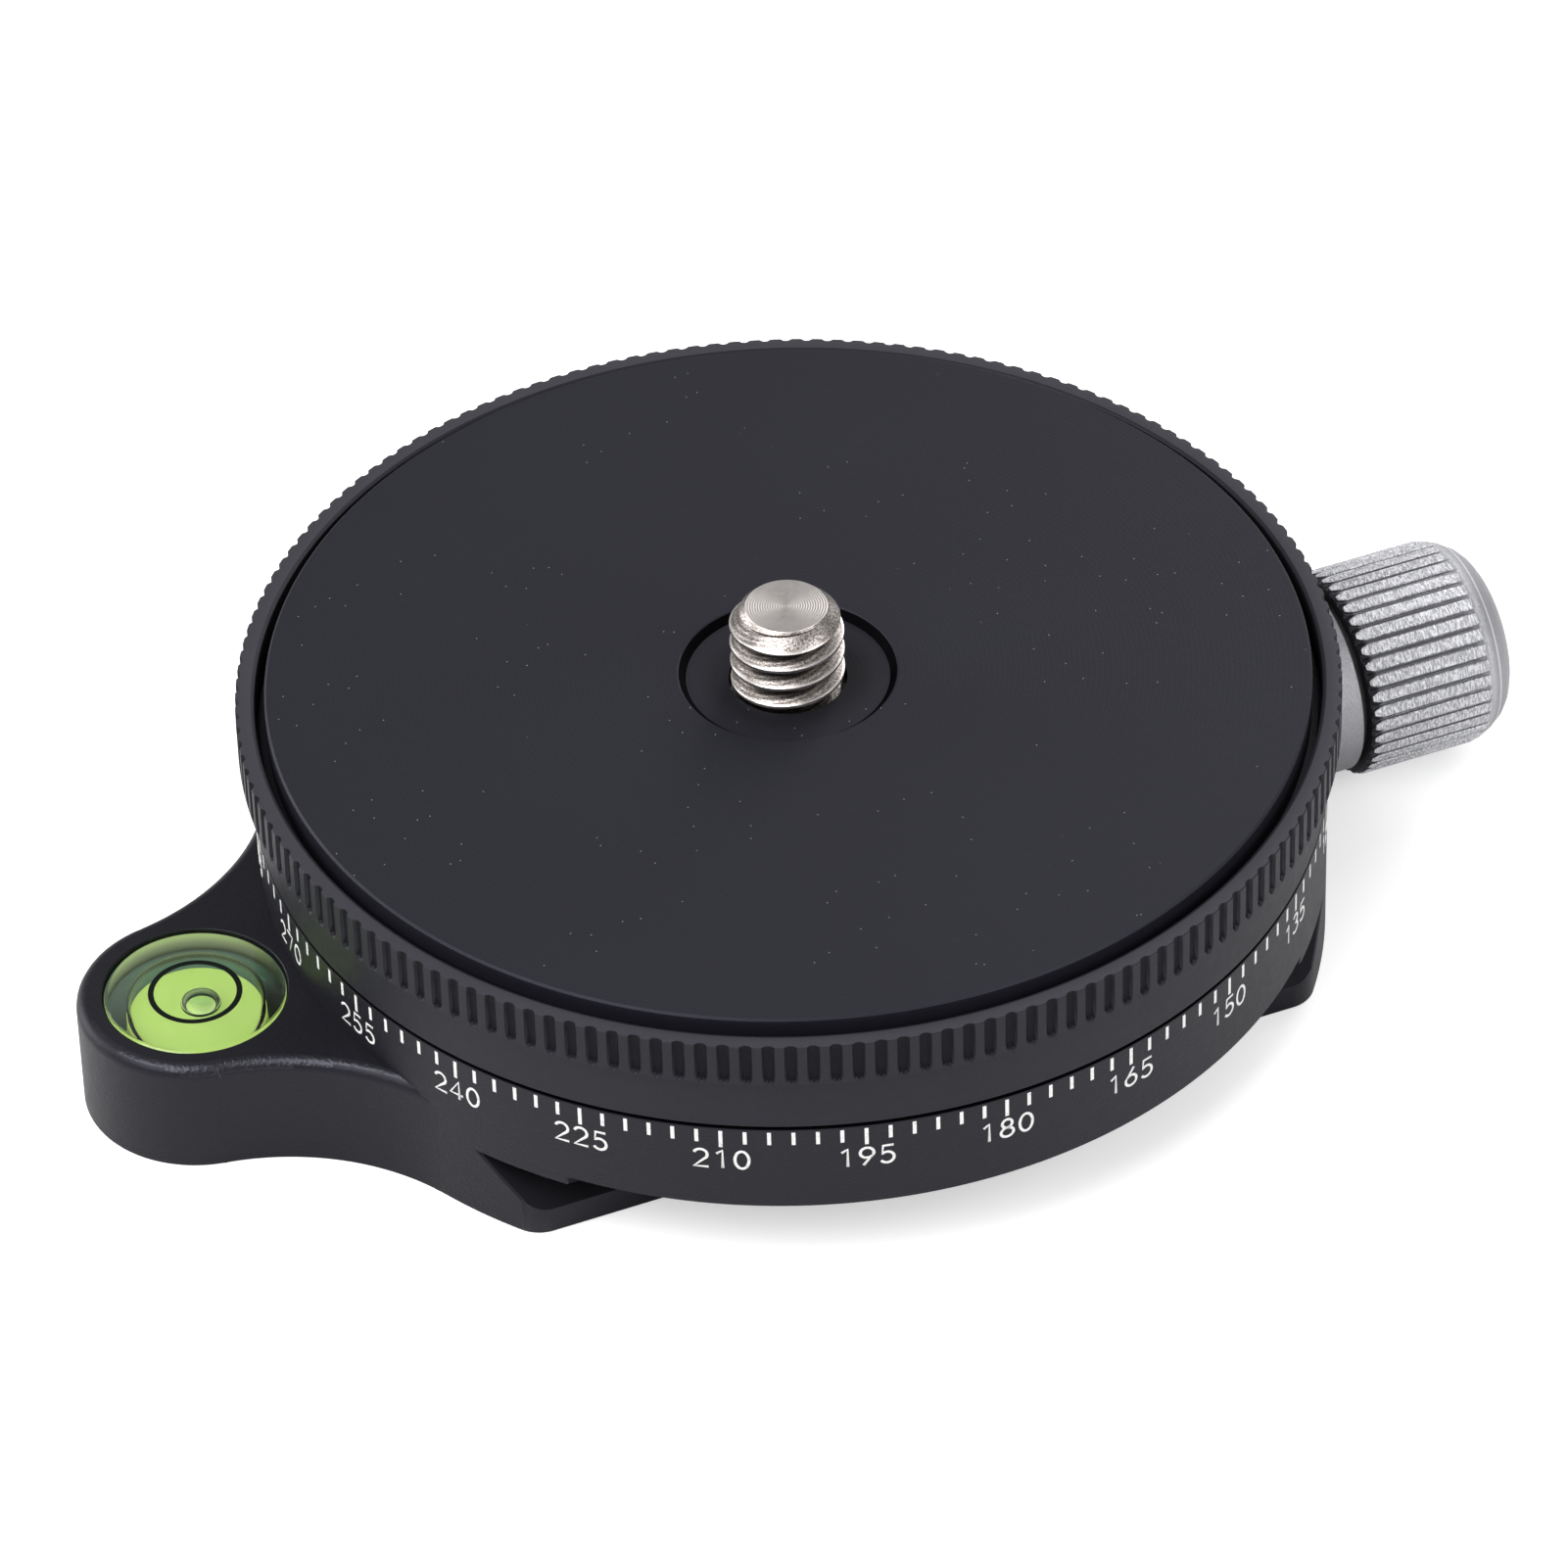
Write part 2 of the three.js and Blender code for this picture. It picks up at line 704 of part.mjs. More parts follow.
function makeCameraStud() {
  const head = raised(regularOutline(studHeadFlats, 6), headBottom, webTop);
  const threadBottom = plateTop - dishDepth - studPitch / 2;
  const shank = cylinder(studRadius, headBottom + studHeadHeight / 2, threadBottom, pinFacets);
  const ridgeStart = plateTop + (studPhaseShare - 1) * studPitch;
  const thread = threadedRod(studRoot, studRadius, studPitch, headBottom, studTop, ridgeStart);
  const wide = studRadius + overrun;
  const envelope = turned([
    [0, headBottom],
    [wide, headBottom],
    [wide, studTop - studPoint - overrun],
    [studRadius - studPoint, studTop],
    [0, studTop],
  ], pinFacets);
  return thread.intersect(solidOf(envelope)).add(solidOf(shank)).add(solidOf(head));
}

function makeRetainingRing() {
  const inner = bossCavityRadius + pinGap;
  const ring = solidOf(tube(inner, retainerRadius, retainerBottom, retainerTop - seatGap, boreFacets));
  const hole = flatScrewHole(smallScrew, retainerScrewFace, retainerBottom);
  return drilled(ring, hole, onCircle(retainerScrewCircle));
}

function makeLowerWasher() {
  const bottom = retainerTop;
  const inner = shoulderBore + pinGap;
  const outer = retainerRadius - pinGap;
  return solidOf(tube(inner, outer, bottom, bottom + lowerWasherThickness, boreFacets));
}

function makeUpperWasher() {
  const bottom = washerTop - washerThickness;
  return solidOf(tube(washerInner, washerOuter, bottom, washerTop, boreFacets));
}

function makeSpindleBush() {
  const inner = spindleRadius + turnGap;
  return solidOf(tube(inner, bushOuter, bushBottom, bushBottom + bushHeight, boreFacets));
}

function makeBrakeShoe() {
  const shoe = cylinder(shoeRadius, shoeStart, shoeEnd, pinFacets);
  const tipStart = shoeEnd - lockTipLength - seatGap;
  const tipHole = cylinder(lockTipRadius + pinGap, tipStart, shoeEnd + overrun, screwFacets);
  return solidOf(alongLock(shoe)).subtract(solidOf(alongLock(tipHole)));
}

function makeLockScrew() {
  const end = knobStart + knobBoreDepth - pinGap;
  return solidOf(alongLock(turned([
    [0, screwStart - lockTipLength],
    [lockTipRadius, screwStart - lockTipLength],
    [lockTipRadius, screwStart],
    [lockScrewRadius, screwStart],
    [lockScrewRadius, end],
    [0, end],
  ], pinFacets)));
}

function makeKnob() {
  const neckEnd = knobStart + knobNeckLength;
  const fluteStart = neckEnd + knobGrooveWidth;
  const knobEnd = knobStart + knobLength;
  const rimStart = knobEnd - knobRim;
  const rimRise = knobRadius - knobFaceRadius;
  const rimArc = arc(0, 0, 1, Math.PI / 2, 0, 5).map(([alongShare, riseShare]) => (
    [knobFaceRadius + rimRise * riseShare, rimStart + knobRim * alongShare]
  ));
  const profile = [
    [0, knobStart],
    [knobNeckRadius - knobNeckEdge, knobStart],
    [knobNeckRadius, knobStart + knobNeckEdge],
    [knobNeckRadius, neckEnd],
    [knobGrooveRadius, neckEnd],
    [knobGrooveRadius, fluteStart],
    [knobRadius - knobFluteEnd, fluteStart],
    [knobRadius, fluteStart + knobFluteEnd],
    ...rimArc,
    [0, knobEnd],
  ];
  const crest = knobRadius + pinGap;
  const root = knobRadius - knobFluteDepth;
  const flutes = flutedOutline(crest, root, knobFluteCount, knobLandShare);
  const fluted = solidOf(alongLock(raised(flutes, fluteStart - overrun, rimStart)));
  const sleeve = cylinder(knobRadius + overrun, fluteStart - overrun / 2, rimStart, knobFluteCount);
  const grooves = solidOf(alongLock(sleeve)).subtract(fluted);
  const bore = cylinder(lockScrewRadius + pinGap, knobStart - overrun, knobStart + knobBoreDepth, pinFacets);
  return solidOf(alongLock(turned(profile, knobFluteCount)))
    .subtract(grooves)
    .subtract(solidOf(alongLock(bore)));
}

function makeBase() {
  const base = new THREE.Group();
  base.add(
    meshOf('base_body', makeBaseBody(), 'blackAnodised'),
    meshOf('bottom_cover', makeBottomCover(), 'blackAnodised'),
    meshOf('tripod_insert', makeTripodInsert(), 'stainless'),
    meshOf('spindle_bush', makeSpindleBush(), 'brass'),
    meshOf('upper_glide_washer', makeUpperWasher(), 'acetal'),
    meshOf('lower_glide_washer', makeLowerWasher(), 'acetal'),
    meshOf('lock_bush', makeLockBush(), 'brass'),
    meshOf('level_vial', makeVial(), 'clearAcrylic'),
    meshOf('level_fluid', makeFluid(), 'greenFluid'),
    meshOf('level_base', makeLevelBase(), 'greenBase'),
  );
  addScrews(base, 'cover_screw', smallScrew, coverScrewFace, coverScrewPlaces, 'darkSteel');
  return base;
}

function makeRotor() {
  const rotor = new THREE.Group();
  rotor.add(
    meshOf('rotating_platform', makePlatform(), 'blackAnodised'),
    meshOf('top_plate', makeTopPlate(), 'blackPlate'),
    meshOf('camera_stud', makeCameraStud(), 'stainless'),
    meshOf('retaining_ring', makeRetainingRing(), 'stainless'),
  );
  const plateScrewPlaces = onCircle(plateScrewCircle);
  const retainerScrewPlaces = onCircle(retainerScrewCircle);
  addScrews(rotor, 'plate_screw', plateScrew, plateScrewFace, plateScrewPlaces, 'darkSteel');
  addScrews(rotor, 'retaining_screw', smallScrew, retainerScrewFace, retainerScrewPlaces, 'darkSteel');
  return rotor;
}

function makeLock() {
  const lock = new THREE.Group();
  lock.add(
    meshOf('brake_shoe', makeBrakeShoe(), 'brass'),
    meshOf('lock_screw', makeLockScrew(), 'stainless'),
    meshOf('lock_knob', makeKnob(), 'satinSilver'),
  );
  return lock;
}

const panningBase = new THREE.Group();
panningBase.add(makeBase(), makeRotor(), makeLock());

export default panningBase;
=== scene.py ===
"""A panoramic panning base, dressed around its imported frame. Metres, +Z up."""

import math

import bmesh
import bpy
from mathutils import Matrix, Vector


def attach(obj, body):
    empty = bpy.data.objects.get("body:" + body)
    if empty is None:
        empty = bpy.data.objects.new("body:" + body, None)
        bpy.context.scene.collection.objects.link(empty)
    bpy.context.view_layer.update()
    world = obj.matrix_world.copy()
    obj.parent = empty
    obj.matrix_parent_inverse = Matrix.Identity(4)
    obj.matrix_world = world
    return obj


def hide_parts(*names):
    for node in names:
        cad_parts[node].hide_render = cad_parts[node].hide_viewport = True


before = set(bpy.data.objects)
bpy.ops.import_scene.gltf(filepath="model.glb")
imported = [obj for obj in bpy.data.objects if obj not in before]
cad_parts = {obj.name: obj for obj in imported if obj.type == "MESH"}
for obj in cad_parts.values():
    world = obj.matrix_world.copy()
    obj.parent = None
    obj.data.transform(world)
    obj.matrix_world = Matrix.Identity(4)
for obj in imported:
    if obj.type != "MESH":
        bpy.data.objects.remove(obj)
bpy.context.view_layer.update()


# Stator. The fixed body: a ring turned from aluminium bar, with the level lug left standing on its
# side and the dovetail foot milled below it. It is bead blasted all over, then anodised black.
# Sizes are in millimetres, measured from the underside and from the pan axis.

mm = 0.001
ring_radius = 30
ring_top = 10.75
lug_x = -35.7
lug_top = 7.05
lug_radius = 6.6
lug_fillet = 14
fillet_centre = (-39.02, 20.33)
fillet_ends = (-36.76, 13.6)
lip_side = 19
lip_height = 1.65
groove_side = 16.1
groove_roof = 4.55
step_side = 20.5
step_roof = 5.1
lock_height = 6.05
cover_seat = (19.6, 16.1)


def circle(name, radius, height, count, centre=(0, 0)):
    """A level circle, open in edit mode with its edges selected."""
    bpy.ops.object.select_all(action="DESELECT")
    place = (centre[0] * mm, centre[1] * mm, height * mm)
    bpy.ops.mesh.primitive_circle_add(vertices=count, radius=radius * mm, location=place)
    bpy.ops.object.transform_apply()
    piece = bpy.context.object
    piece.name = name
    bpy.ops.object.mode_set(mode="EDIT")
    bpy.ops.mesh.select_all(action="SELECT")
    return piece


def turn(name, profile, count, centre=(0, 0)):
    """Turns a piece on a lathe from radii and heights. One that ends where it began is a ring."""
    piece = circle(name, *profile[0], count, centre)
    ring = profile[0] == profile[-1]
    if not ring:
        bpy.ops.mesh.edge_face_add()
    for (radius, height), (next_radius, next_height) in zip(profile, profile[1:]):
        rise = (0, 0, (next_height - height) * mm)
        growth = next_radius / radius
        middle = (centre[0] * mm, centre[1] * mm, next_height * mm)
        bpy.ops.mesh.extrude_region_move(TRANSFORM_OT_translate={"value": rise})
        bpy.ops.transform.resize(value=(growth, growth, 1), center_override=middle)
    bpy.ops.mesh.select_all(action="SELECT")
    if ring:
        bpy.ops.mesh.remove_doubles(threshold=0.001 * mm)
    bpy.ops.mesh.normals_make_consistent(inside=False)
    bpy.ops.object.mode_set(mode="OBJECT")
    return piece


def block(name, low, high):
    """A block between two corners."""
    bpy.ops.object.select_all(action="DESELECT")
    middle = [(a + b) / 2 * mm for a, b in zip(low, high)]
    size = [abs(b - a) * mm for a, b in zip(low, high)]
    bpy.ops.mesh.primitive_cube_add(size=1, location=middle, scale=size)
    bpy.ops.object.transform_apply()
    bpy.context.object.name = name
    return bpy.context.object


def activate(*pieces):
    """Selects only these pieces, the first of them active."""
    bpy.ops.object.select_all(action="DESELECT")
    for piece in pieces:
        piece.select_set(True)
    bpy.context.view_layer.objects.active = pieces[0]


def apply_modifier(piece, kind, **settings):
    """Puts one modifier on a piece and applies it."""
    activate(piece)
    modifier = piece.modifiers.new(kind.lower(), kind)
    for setting, value in settings.items():
        setattr(modifier, setting, value)
    bpy.ops.object.modifier_apply(modifier=modifier.name)


def machine(piece, *tools, operation="DIFFERENCE"):
    """Cuts a piece with each tool, or joins them to it. The tools are used up."""
    for tool in tools:
        apply_modifier(piece, "BOOLEAN", object=tool, operation=operation, solver="EXACT")
        bpy.data.objects.remove(tool)


def pick(piece, kind, test):
    """Opens a piece in edit mode with only the elements that pass the test selected."""
    activate(piece)
    bpy.ops.object.mode_set(mode="EDIT")
    bpy.ops.mesh.select_mode(type=kind)
    bpy.ops.mesh.select_all(action="DESELECT")
    shape = bmesh.from_edit_mesh(piece.data)
    elements = {"VERT": shape.verts, "EDGE": shape.edges, "FACE": shape.faces}[kind]
    for element in elements:
        if test(element):
            element.select_set(True)
    shape.select_flush_mode()
    bmesh.update_edit_mesh(piece.data)


def close_edit():
    bpy.ops.mesh.select_mode(type="VERT")
    bpy.ops.object.mode_set(mode="OBJECT")


def saw(piece, point, normal):
    """Saws a piece through a plane, drops what lies in front of it and faces the cut."""
    pick(piece, "VERT", lambda vertex: True)
    bpy.ops.mesh.bisect(
        plane_co=[value * mm for value in point],
        plane_no=normal,
        use_fill=True,
        clear_outer=True,
        threshold=0.0001 * mm,
    )
    close_edit()


def round_edges(piece, width, segments, test):
    """Bevels the edges that pass the test."""
    pick(piece, "EDGE", test)
    bpy.ops.mesh.bevel(offset=width * mm, segments=segments, clamp_overlap=False)
    close_edit()


def lay_along_lock(piece):
    """Lays an upright piece down along +X, on the lock's axis."""
    piece.rotation_euler = (0, math.pi / 2, 0)
    piece.location = (0, 0, lock_height * mm)
    activate(piece)
    bpy.ops.object.transform_apply()
    return piece


def smooth(piece, angle=28):
    """Shades curved faces smooth, and keeps the edges crisp and the large faces even."""
    activate(piece)
    bpy.ops.object.shade_smooth_by_angle(angle=math.radians(angle))
    apply_modifier(piece, "WEIGHTED_NORMAL", keep_sharp=True)


def shade_faces(piece, material, test):
    """Gives the faces that pass the test a finish of their own."""
    piece.data.materials.append(material)
    pick(piece, "FACE", test)
    piece.active_material_index = len(piece.data.materials) - 1
    bpy.ops.object.material_slot_assign()
    close_edit()


class Wire:
    """A shader value. Arithmetic on it adds Math nodes to its tree."""

    def __init__(self, shader, socket):
        self.shader = shader
        self.socket = socket

    def math(self, operation, *values):
        return self.shader.node("ShaderNodeMath", {"operation": operation}, dict(enumerate(values)))

    def __add__(self, other):
        return self.math("ADD", self, other)

    def __sub__(self, other):
        return self.math("SUBTRACT", self, other)

    def __rsub__(self, other):
        return self.math("SUBTRACT", other, self)

    def __mul__(self, other):
        return self.math("MULTIPLY", self, other)

    def __truediv__(self, other):
        return self.math("DIVIDE", self, other)

    def __pow__(self, other):
        return self.math("POWER", self, other)

    __radd__ = __add__
    __rmul__ = __mul__

    def sine(self):
        return self.math("SINE", self)

    def size(self):
        return self.math("ABSOLUTE", self)

    def above(self, edge, softness):
        """0 below an edge and 1 above it, with a soft step between them."""
        settings = {"interpolation_type": "SMOOTHSTEP"}
        ends = {"Value": self, "From Min": edge - softness / 2, "From Max": edge + softness / 2}
        return self.shader.node("ShaderNodeMapRange", settings, ends)

    def below(self, edge, softness):
        return 1 - self.above(edge, softness)


class Shader:
    """The nodes of a material, or of the world. node() adds any node and hands back an output."""

    def __init__(self, name, world=False):
        owners = bpy.data.worlds if world else bpy.data.materials
        self.owner = owners.new(name)
        self.owner.use_nodes = True
        self.tree = self.owner.node_tree
        self.tree.nodes.clear()
        self.place = self.node("ShaderNodeTexCoord", out="Object")

    def node(self, kind, settings=None, inputs=None, out=0):
        node = self.tree.nodes.new(kind)
        for setting, value in (settings or {}).items():
            setattr(node, setting, value)
        for key, value in (inputs or {}).items():
            if isinstance(value, Wire):
                self.tree.links.new(value.socket, node.inputs[key])
            else:
                node.inputs[key].default_value = value
        return Wire(self, node.outputs[out]) if len(node.outputs) else None

    def noise(self, size, detail=2.0, place=None):
        """Noise whose features are about this many millimetres wide."""
        inputs = {"Vector": place or self.place, "Scale": 1 / (size * mm), "Detail": detail}
        return self.node("ShaderNodeTexNoise", None, inputs, "Fac")

    def stretched(self, x, y, z):
        """Object coordinates with each axis drawn out by a factor."""
        inputs = {"Vector": self.place, "Scale": (1 / x, 1 / y, 1 / z)}
        return self.node("ShaderNodeMapping", None, inputs)

    def mix(self, share, first, second):
        """Blends two colours."""
        inputs = {0: share, 6: first, 7: second}
        return self.node("ShaderNodeMix", {"data_type": "RGBA"}, inputs, out=2)

    def bump(self, height, depth):
        """Raises the surface by up to this many millimetres."""
        return self.node("ShaderNodeBump", None, {"Height": height, "Distance": depth * mm})

    def axes(self):
        """The three coordinates in millimetres."""
        inputs = {0: self.place, "Scale": 1 / mm}
        scaled = self.node("ShaderNodeVectorMath", {"operation": "SCALE"}, inputs)
        split = self.node("ShaderNodeSeparateXYZ", None, {0: scaled})
        return [Wire(self, output) for output in split.socket.node.outputs]

    def finish(self, **inputs):
        """The surface itself: a Principled shader with these inputs."""
        named = {key.replace("_", " "): value for key, value in inputs.items()}
        surface = self.node("ShaderNodeBsdfPrincipled", None, named)
        self.node("ShaderNodeOutputMaterial", None, {"Surface": surface})
        return self.owner


def tint(red, green, blue, share=1.0):
    return (red * share, green * share, blue * share, 1)


def anodised(name, colour, roughness, milled=False, shine=0.28, grit=0.11, depth=0.006):
    """Bead blasted, black anodised aluminium: a fine even grain with faint clouding in the dye."""
    shader = Shader(name)
    grain = shader.noise(grit, 3)
    cloud = shader.noise(11)
    base = shader.mix(grain * 0.55 + cloud * 0.45, tint(*colour, 0.6), tint(*colour, 1.4))
    relief = grain
    if milled:
        height = shader.axes()[2]
        cutter = (height * 36 + shader.noise(3) * 2.5).sine()
        relief = relief + (cutter * 0.5 + 0.5) * 0.3
    wear = shader.noise(0.6, 4)
    return shader.finish(
        Base_Color=base,
        Roughness=wear * 0.14 + (roughness - 0.07),
        Specular_IOR_Level=shine,
        Specular_Tint=tint(0.86, 0.86, 1.0),
        Normal=shader.bump(relief, depth),
    )


def turned_stator():
    """The ring with its stepped bore, as it comes off the lathe."""
    return turn(
        "stator",
        [
            (ring_radius, 0),
            (ring_radius, ring_top - 0.15),
            (ring_radius - 0.03, ring_top - 0.05),
            (ring_radius - 0.1, ring_top),
            (26.1, ring_top),  # the recess under the platform
            (26.1, 10.07),
            (15.18, 10.07),  # the upper washer's seat
            (15.18, 8.58),
            (13.7, 8.58),  # the bore
            (13.7, 4.2),
            (12.2, 4.2),  # the shoulder that holds the platform down
            (12.2, 3.2),
            (14.6, 3.2),  # room for the retaining ring
            (14.6, 0),
            (ring_radius, 0),
        ],
        288,
    )


def level_lug():
    """The lug: a round end that runs into the ring through two hollow fillets."""
    lug = block("lug", (fillet_ends[0], -fillet_ends[1], 0), (-20, fillet_ends[1], lug_top))
    end = turn("lug_end", [(lug_radius, 0), (lug_radius, lug_top)], 144, (lug_x, 0))
    machine(lug, end, operation="UNION")
    for side in (1, -1):
        centre = (fillet_centre[0], side * fillet_centre[1])
        machine(lug, turn("fillet", [(lug_fillet, -1), (lug_fillet, 9)], 288, centre))
    pick(lug, "FACE", lambda face: True)
    bpy.ops.mesh.dissolve_limited(angle_limit=math.radians(0.05))
    close_edit()

    def on_top(edge):
        ends = [vertex.co / mm for vertex in edge.verts]
        level = all(end.z > lug_top - 0.01 for end in ends)
        outside = any(end.x < -20.1 for end in ends)
        return level and outside and edge.calc_face_angle(0) > 1

    round_edges(lug, 0.72, 5, on_top)
    return lug


def groove_tools(side):
    """What the dovetail cutter takes away on one side of the foot."""
    far = 32
    roof = block("groove", (-far, side * lip_side, -1), (far, side * far, groove_roof))
    step = block("groove_step", (-far, side * step_side, -1), (far, side * far, step_roof))
    slope = block(
        "groove_slope",
        (-far, side * groove_side, lip_height - 1),
        (far, side * (lip_side + 1), groove_roof),
    )
    saw(slope, (0, side * lip_side, lip_height), (0, -side, -1))
    return roof, step, slope


def corner_tool(side_x, side_y):
    """Rounds one upright corner of the foot, where its lip meets the round wall."""
    radius = 2
    past_wall = 2.6
    past_lip = 3.2
    y = lip_side - radius
    x = math.sqrt((ring_radius - radius) ** 2 - y ** 2)
    low = (side_x * x, side_y * y, -1)
    high = (side_x * (x + past_wall), side_y * (y + past_lip), groove_roof)
    corner = block("corner", low, high)
    length = math.hypot(x, y)
    saw(corner, (side_x * x, side_y * y, 0), (side_x * y / length, -side_y * x / length, 0))
    machine(corner, turn("corner_radius", [(radius, -2), (radius, 6)], 96, low[:2]))
    return corner


def slab(name, half_x, half_y, corner, low, high):
    """A rectangular slab with round corners."""
    piece = block(name, (-half_x, -half_y, low), (half_x, half_y, high))

    def upright(edge):
        a, b = (vertex.co for vertex in edge.verts)
        return abs(a.z - b.z) > 0.1 * mm

    round_edges(piece, corner, 10, upright)
    return piece


cover_screw_places = [(16.6, 11), (-16.6, 11), (-16.6, -11), (16.6, -11)]

stator = turned_stator()
machine(stator, level_lug(), operation="UNION")
for side_y in (1, -1):
    machine(stator, *groove_tools(side_y))
    for side_x in (1, -1):
        machine(stator, corner_tool(side_x, side_y))
vial_pocket = [(5.15, 1.8), (5.15, lug_top - 0.03), (5.23, lug_top + 0.05), (5.23, 9)]
machine(stator, turn("vial_pocket", vial_pocket, 128, (lug_x, 0)))
machine(stator, slab("cover_seat", *cover_seat, corner=5.1, low=-1, high=1.65))
machine(stator, lay_along_lock(turn("shoe_hole", [(1.7, 13), (1.7, 19)], 48)))
machine(stator, lay_along_lock(turn("bush_hole", [(3.5, 18.68), (3.5, 32)], 64)))
for place in cover_screw_places:
    machine(stator, turn("screw_hole", [(1.1, -1), (1.1, 4.42)], 24, place))


def underside_rim(edge):
    """An edge around the underside, except those of the cover's seat."""
    ends = [vertex.co / mm for vertex in edge.verts]
    corner = all(end.z < 0.01 for end in ends) and edge.calc_face_angle(0) > 1
    wide = min(face.calc_area() for face in edge.link_faces) > (0.1 * mm) ** 2
    seat_x, seat_y = (half + 0.1 for half in cover_seat)
    return corner and wide and not any(abs(end.x) < seat_x and abs(end.y) < seat_y for end in ends)


round_edges(stator, 0.07, 2, underside_rim)


def groove_rim(edge):
    """An edge where a groove breaks out through the ring's round wall."""
    ends = [vertex.co / mm for vertex in edge.verts]
    on_wall = all(abs(end.to_2d().length - ring_radius) < 0.02 for end in ends)
    low = all(0.3 < end.z < step_roof + 0.1 for end in ends)
    return on_wall and low and edge.calc_face_angle(0) > 0.5


round_edges(stator, 0.1, 1, groove_rim)
smooth(stator)
stator.data.materials.append(
    anodised("black_anodised_stator", (0.007, 0.007, 0.0098), 0.42, grit=0.17, depth=0.022)
)


def face_middle(face):
    """The middle of a face in millimetres, and its distance from the pan axis."""
    middle = face.calc_center_median() / mm
    return middle, middle.to_2d().length


def in_groove(face):
    """A face that the dovetail cutter left."""
    middle, reach = face_middle(face)
    high = lip_height - 0.01 < middle.z < step_roof + 0.02
    return high and abs(middle.y) > groove_side - 0.1 and reach < ring_radius - 0.1


def worn_rim(face):
    """A face of the small bevel where the groove breaks out of the wall."""
    middle, reach = face_middle(face)
    low = lip_height + 0.05 < middle.z < step_roof + 0.15
    return low and ring_radius - 0.1 < reach < ring_radius - 0.01 and face.normal.z < -0.3


def in_seam(face):
    """A face of the ring's top edge, under the platform."""
    middle, reach = face_middle(face)
    return middle.z > ring_top - 0.06 and reach > 25


def lug_rounding(face):
    """A face of the rounding along the lug's front top edge, on its front right side, where a
    painted highlight goes.
    """
    middle, reach = face_middle(face)
    from_vial = math.hypot(middle.x - lug_x, middle.y)
    low = lug_top - 0.73 < middle.z < lug_top - 0.002
    slope = 0.25 < face.normal.z < 0.99 and face.normal.x > -0.4 and face.normal.y < 0
    return low and slope and middle.x < -20 and from_vial > 5.6


# The groove's faces keep their milling marks and are painted darker and duller than the rest:
# painted shade under the ring.
groove_painted_shade = anodised(
    "black_anodised_groove_painted_shade", (0.003, 0.003, 0.0042), 0.5, milled=True, shine=0.13
)
shade_faces(stator, groove_painted_shade, in_groove)
worn_finish = anodised("worn_edge", (0.035, 0.035, 0.04), 0.4, shine=0.5, grit=0.3, depth=0.03)
shade_faces(stator, worn_finish, worn_rim)
# The ring's top edge under the platform is painted near black: painted shade in the seam between
# the parts.
seam_painted_shade = anodised("black_anodised_seam_painted_shade", (0.001, 0.001, 0.0015), 0.6, shine=0.02)
shade_faces(stator, seam_painted_shade, in_seam)
# The front right of the lug's rounding gets a lighter, shinier copy of the anodising: a painted
# highlight.
rounding_painted_highlight = anodised(
    "black_anodised_rounding_painted_highlight", (0.008, 0.008, 0.011), 0.31, shine=0.5, grit=0.2, depth=0.045
)
shade_faces(stator, rounding_painted_highlight, lug_rounding)
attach(stator, "base")
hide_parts("base_body")


# Degree scale. White paint in shallow engraved marks around the stator's top edge: a tick every
# 2.5 degrees, a longer one every 15, and its number below it, counting clockwise from above. The
# numbers are engraved with one round-ended cutter, so every stroke has the same width.

tick_top = 10.55
tick_foot = 9.67
long_tick_foot = 9.39
tick_half = 0.105
paint = 0.015
number_foot = 7.78
number_squeeze = 0.955
number_pitch = 1.12
stroke_half = 0.09


def tick(foot, degrees):
    """One painted mark, turned this far round the pan axis from the front."""
    low = (-tick_half, -ring_radius - paint, foot)
    mark = block("tick", low, (tick_half, -ring_radius + 0.08, tick_top))
    mark.rotation_euler.z = math.radians(degrees)
    activate(mark)
    bpy.ops.object.transform_apply()
    return mark


def bow(x, y, width, height, first, last):
    """Points along part of an ellipse, from one angle to another in degrees."""
    count = max(2, round(abs(last - first) / 18))
    angles = [math.radians(first + (last - first) * step / count) for step in range(count + 1)]
    return [(x + width * math.cos(angle), y + height * math.sin(angle)) for angle in angles]


digit_strokes = {
    "0": [bow(0, 0.75, 0.38, 0.65, 0, 360)],
    "1": [[(-0.25, 1.16), (0.07, 1.4), (0.07, 0.1)]],
    "2": [bow(0, 1.02, 0.37, 0.38, 160, -38) + [(-0.38, 0.1), (0.42, 0.1)]],
    "3": [bow(-0.03, 1.08, 0.33, 0.32, 150, -90) + bow(-0.03, 0.43, 0.38, 0.33, 90, -155)],
    "4": [[(0.17, 0.1), (0.17, 1.4), (-0.43, 0.43), (0.43, 0.43)]],
    "5": [[(0.33, 1.4), (-0.24, 1.4), (-0.3, 0.8)] + bow(-0.03, 0.51, 0.38, 0.41, 128, -150)],
    "6": [[(0.2, 1.4), (-0.28, 0.72)] + bow(0, 0.48, 0.37, 0.38, 140, 500)],
    "7": [[(-0.38, 1.4), (0.38, 1.4), (-0.12, 0.1)]],
    "8": [bow(0, 1.09, 0.29, 0.31, -90, 270) + bow(0, 0.44, 0.37, 0.34, 90, 450)],
    "9": [[(-0.2, 0.1), (0.28, 0.78)] + bow(0, 1.02, 0.37, 0.38, -40, 320)],
}


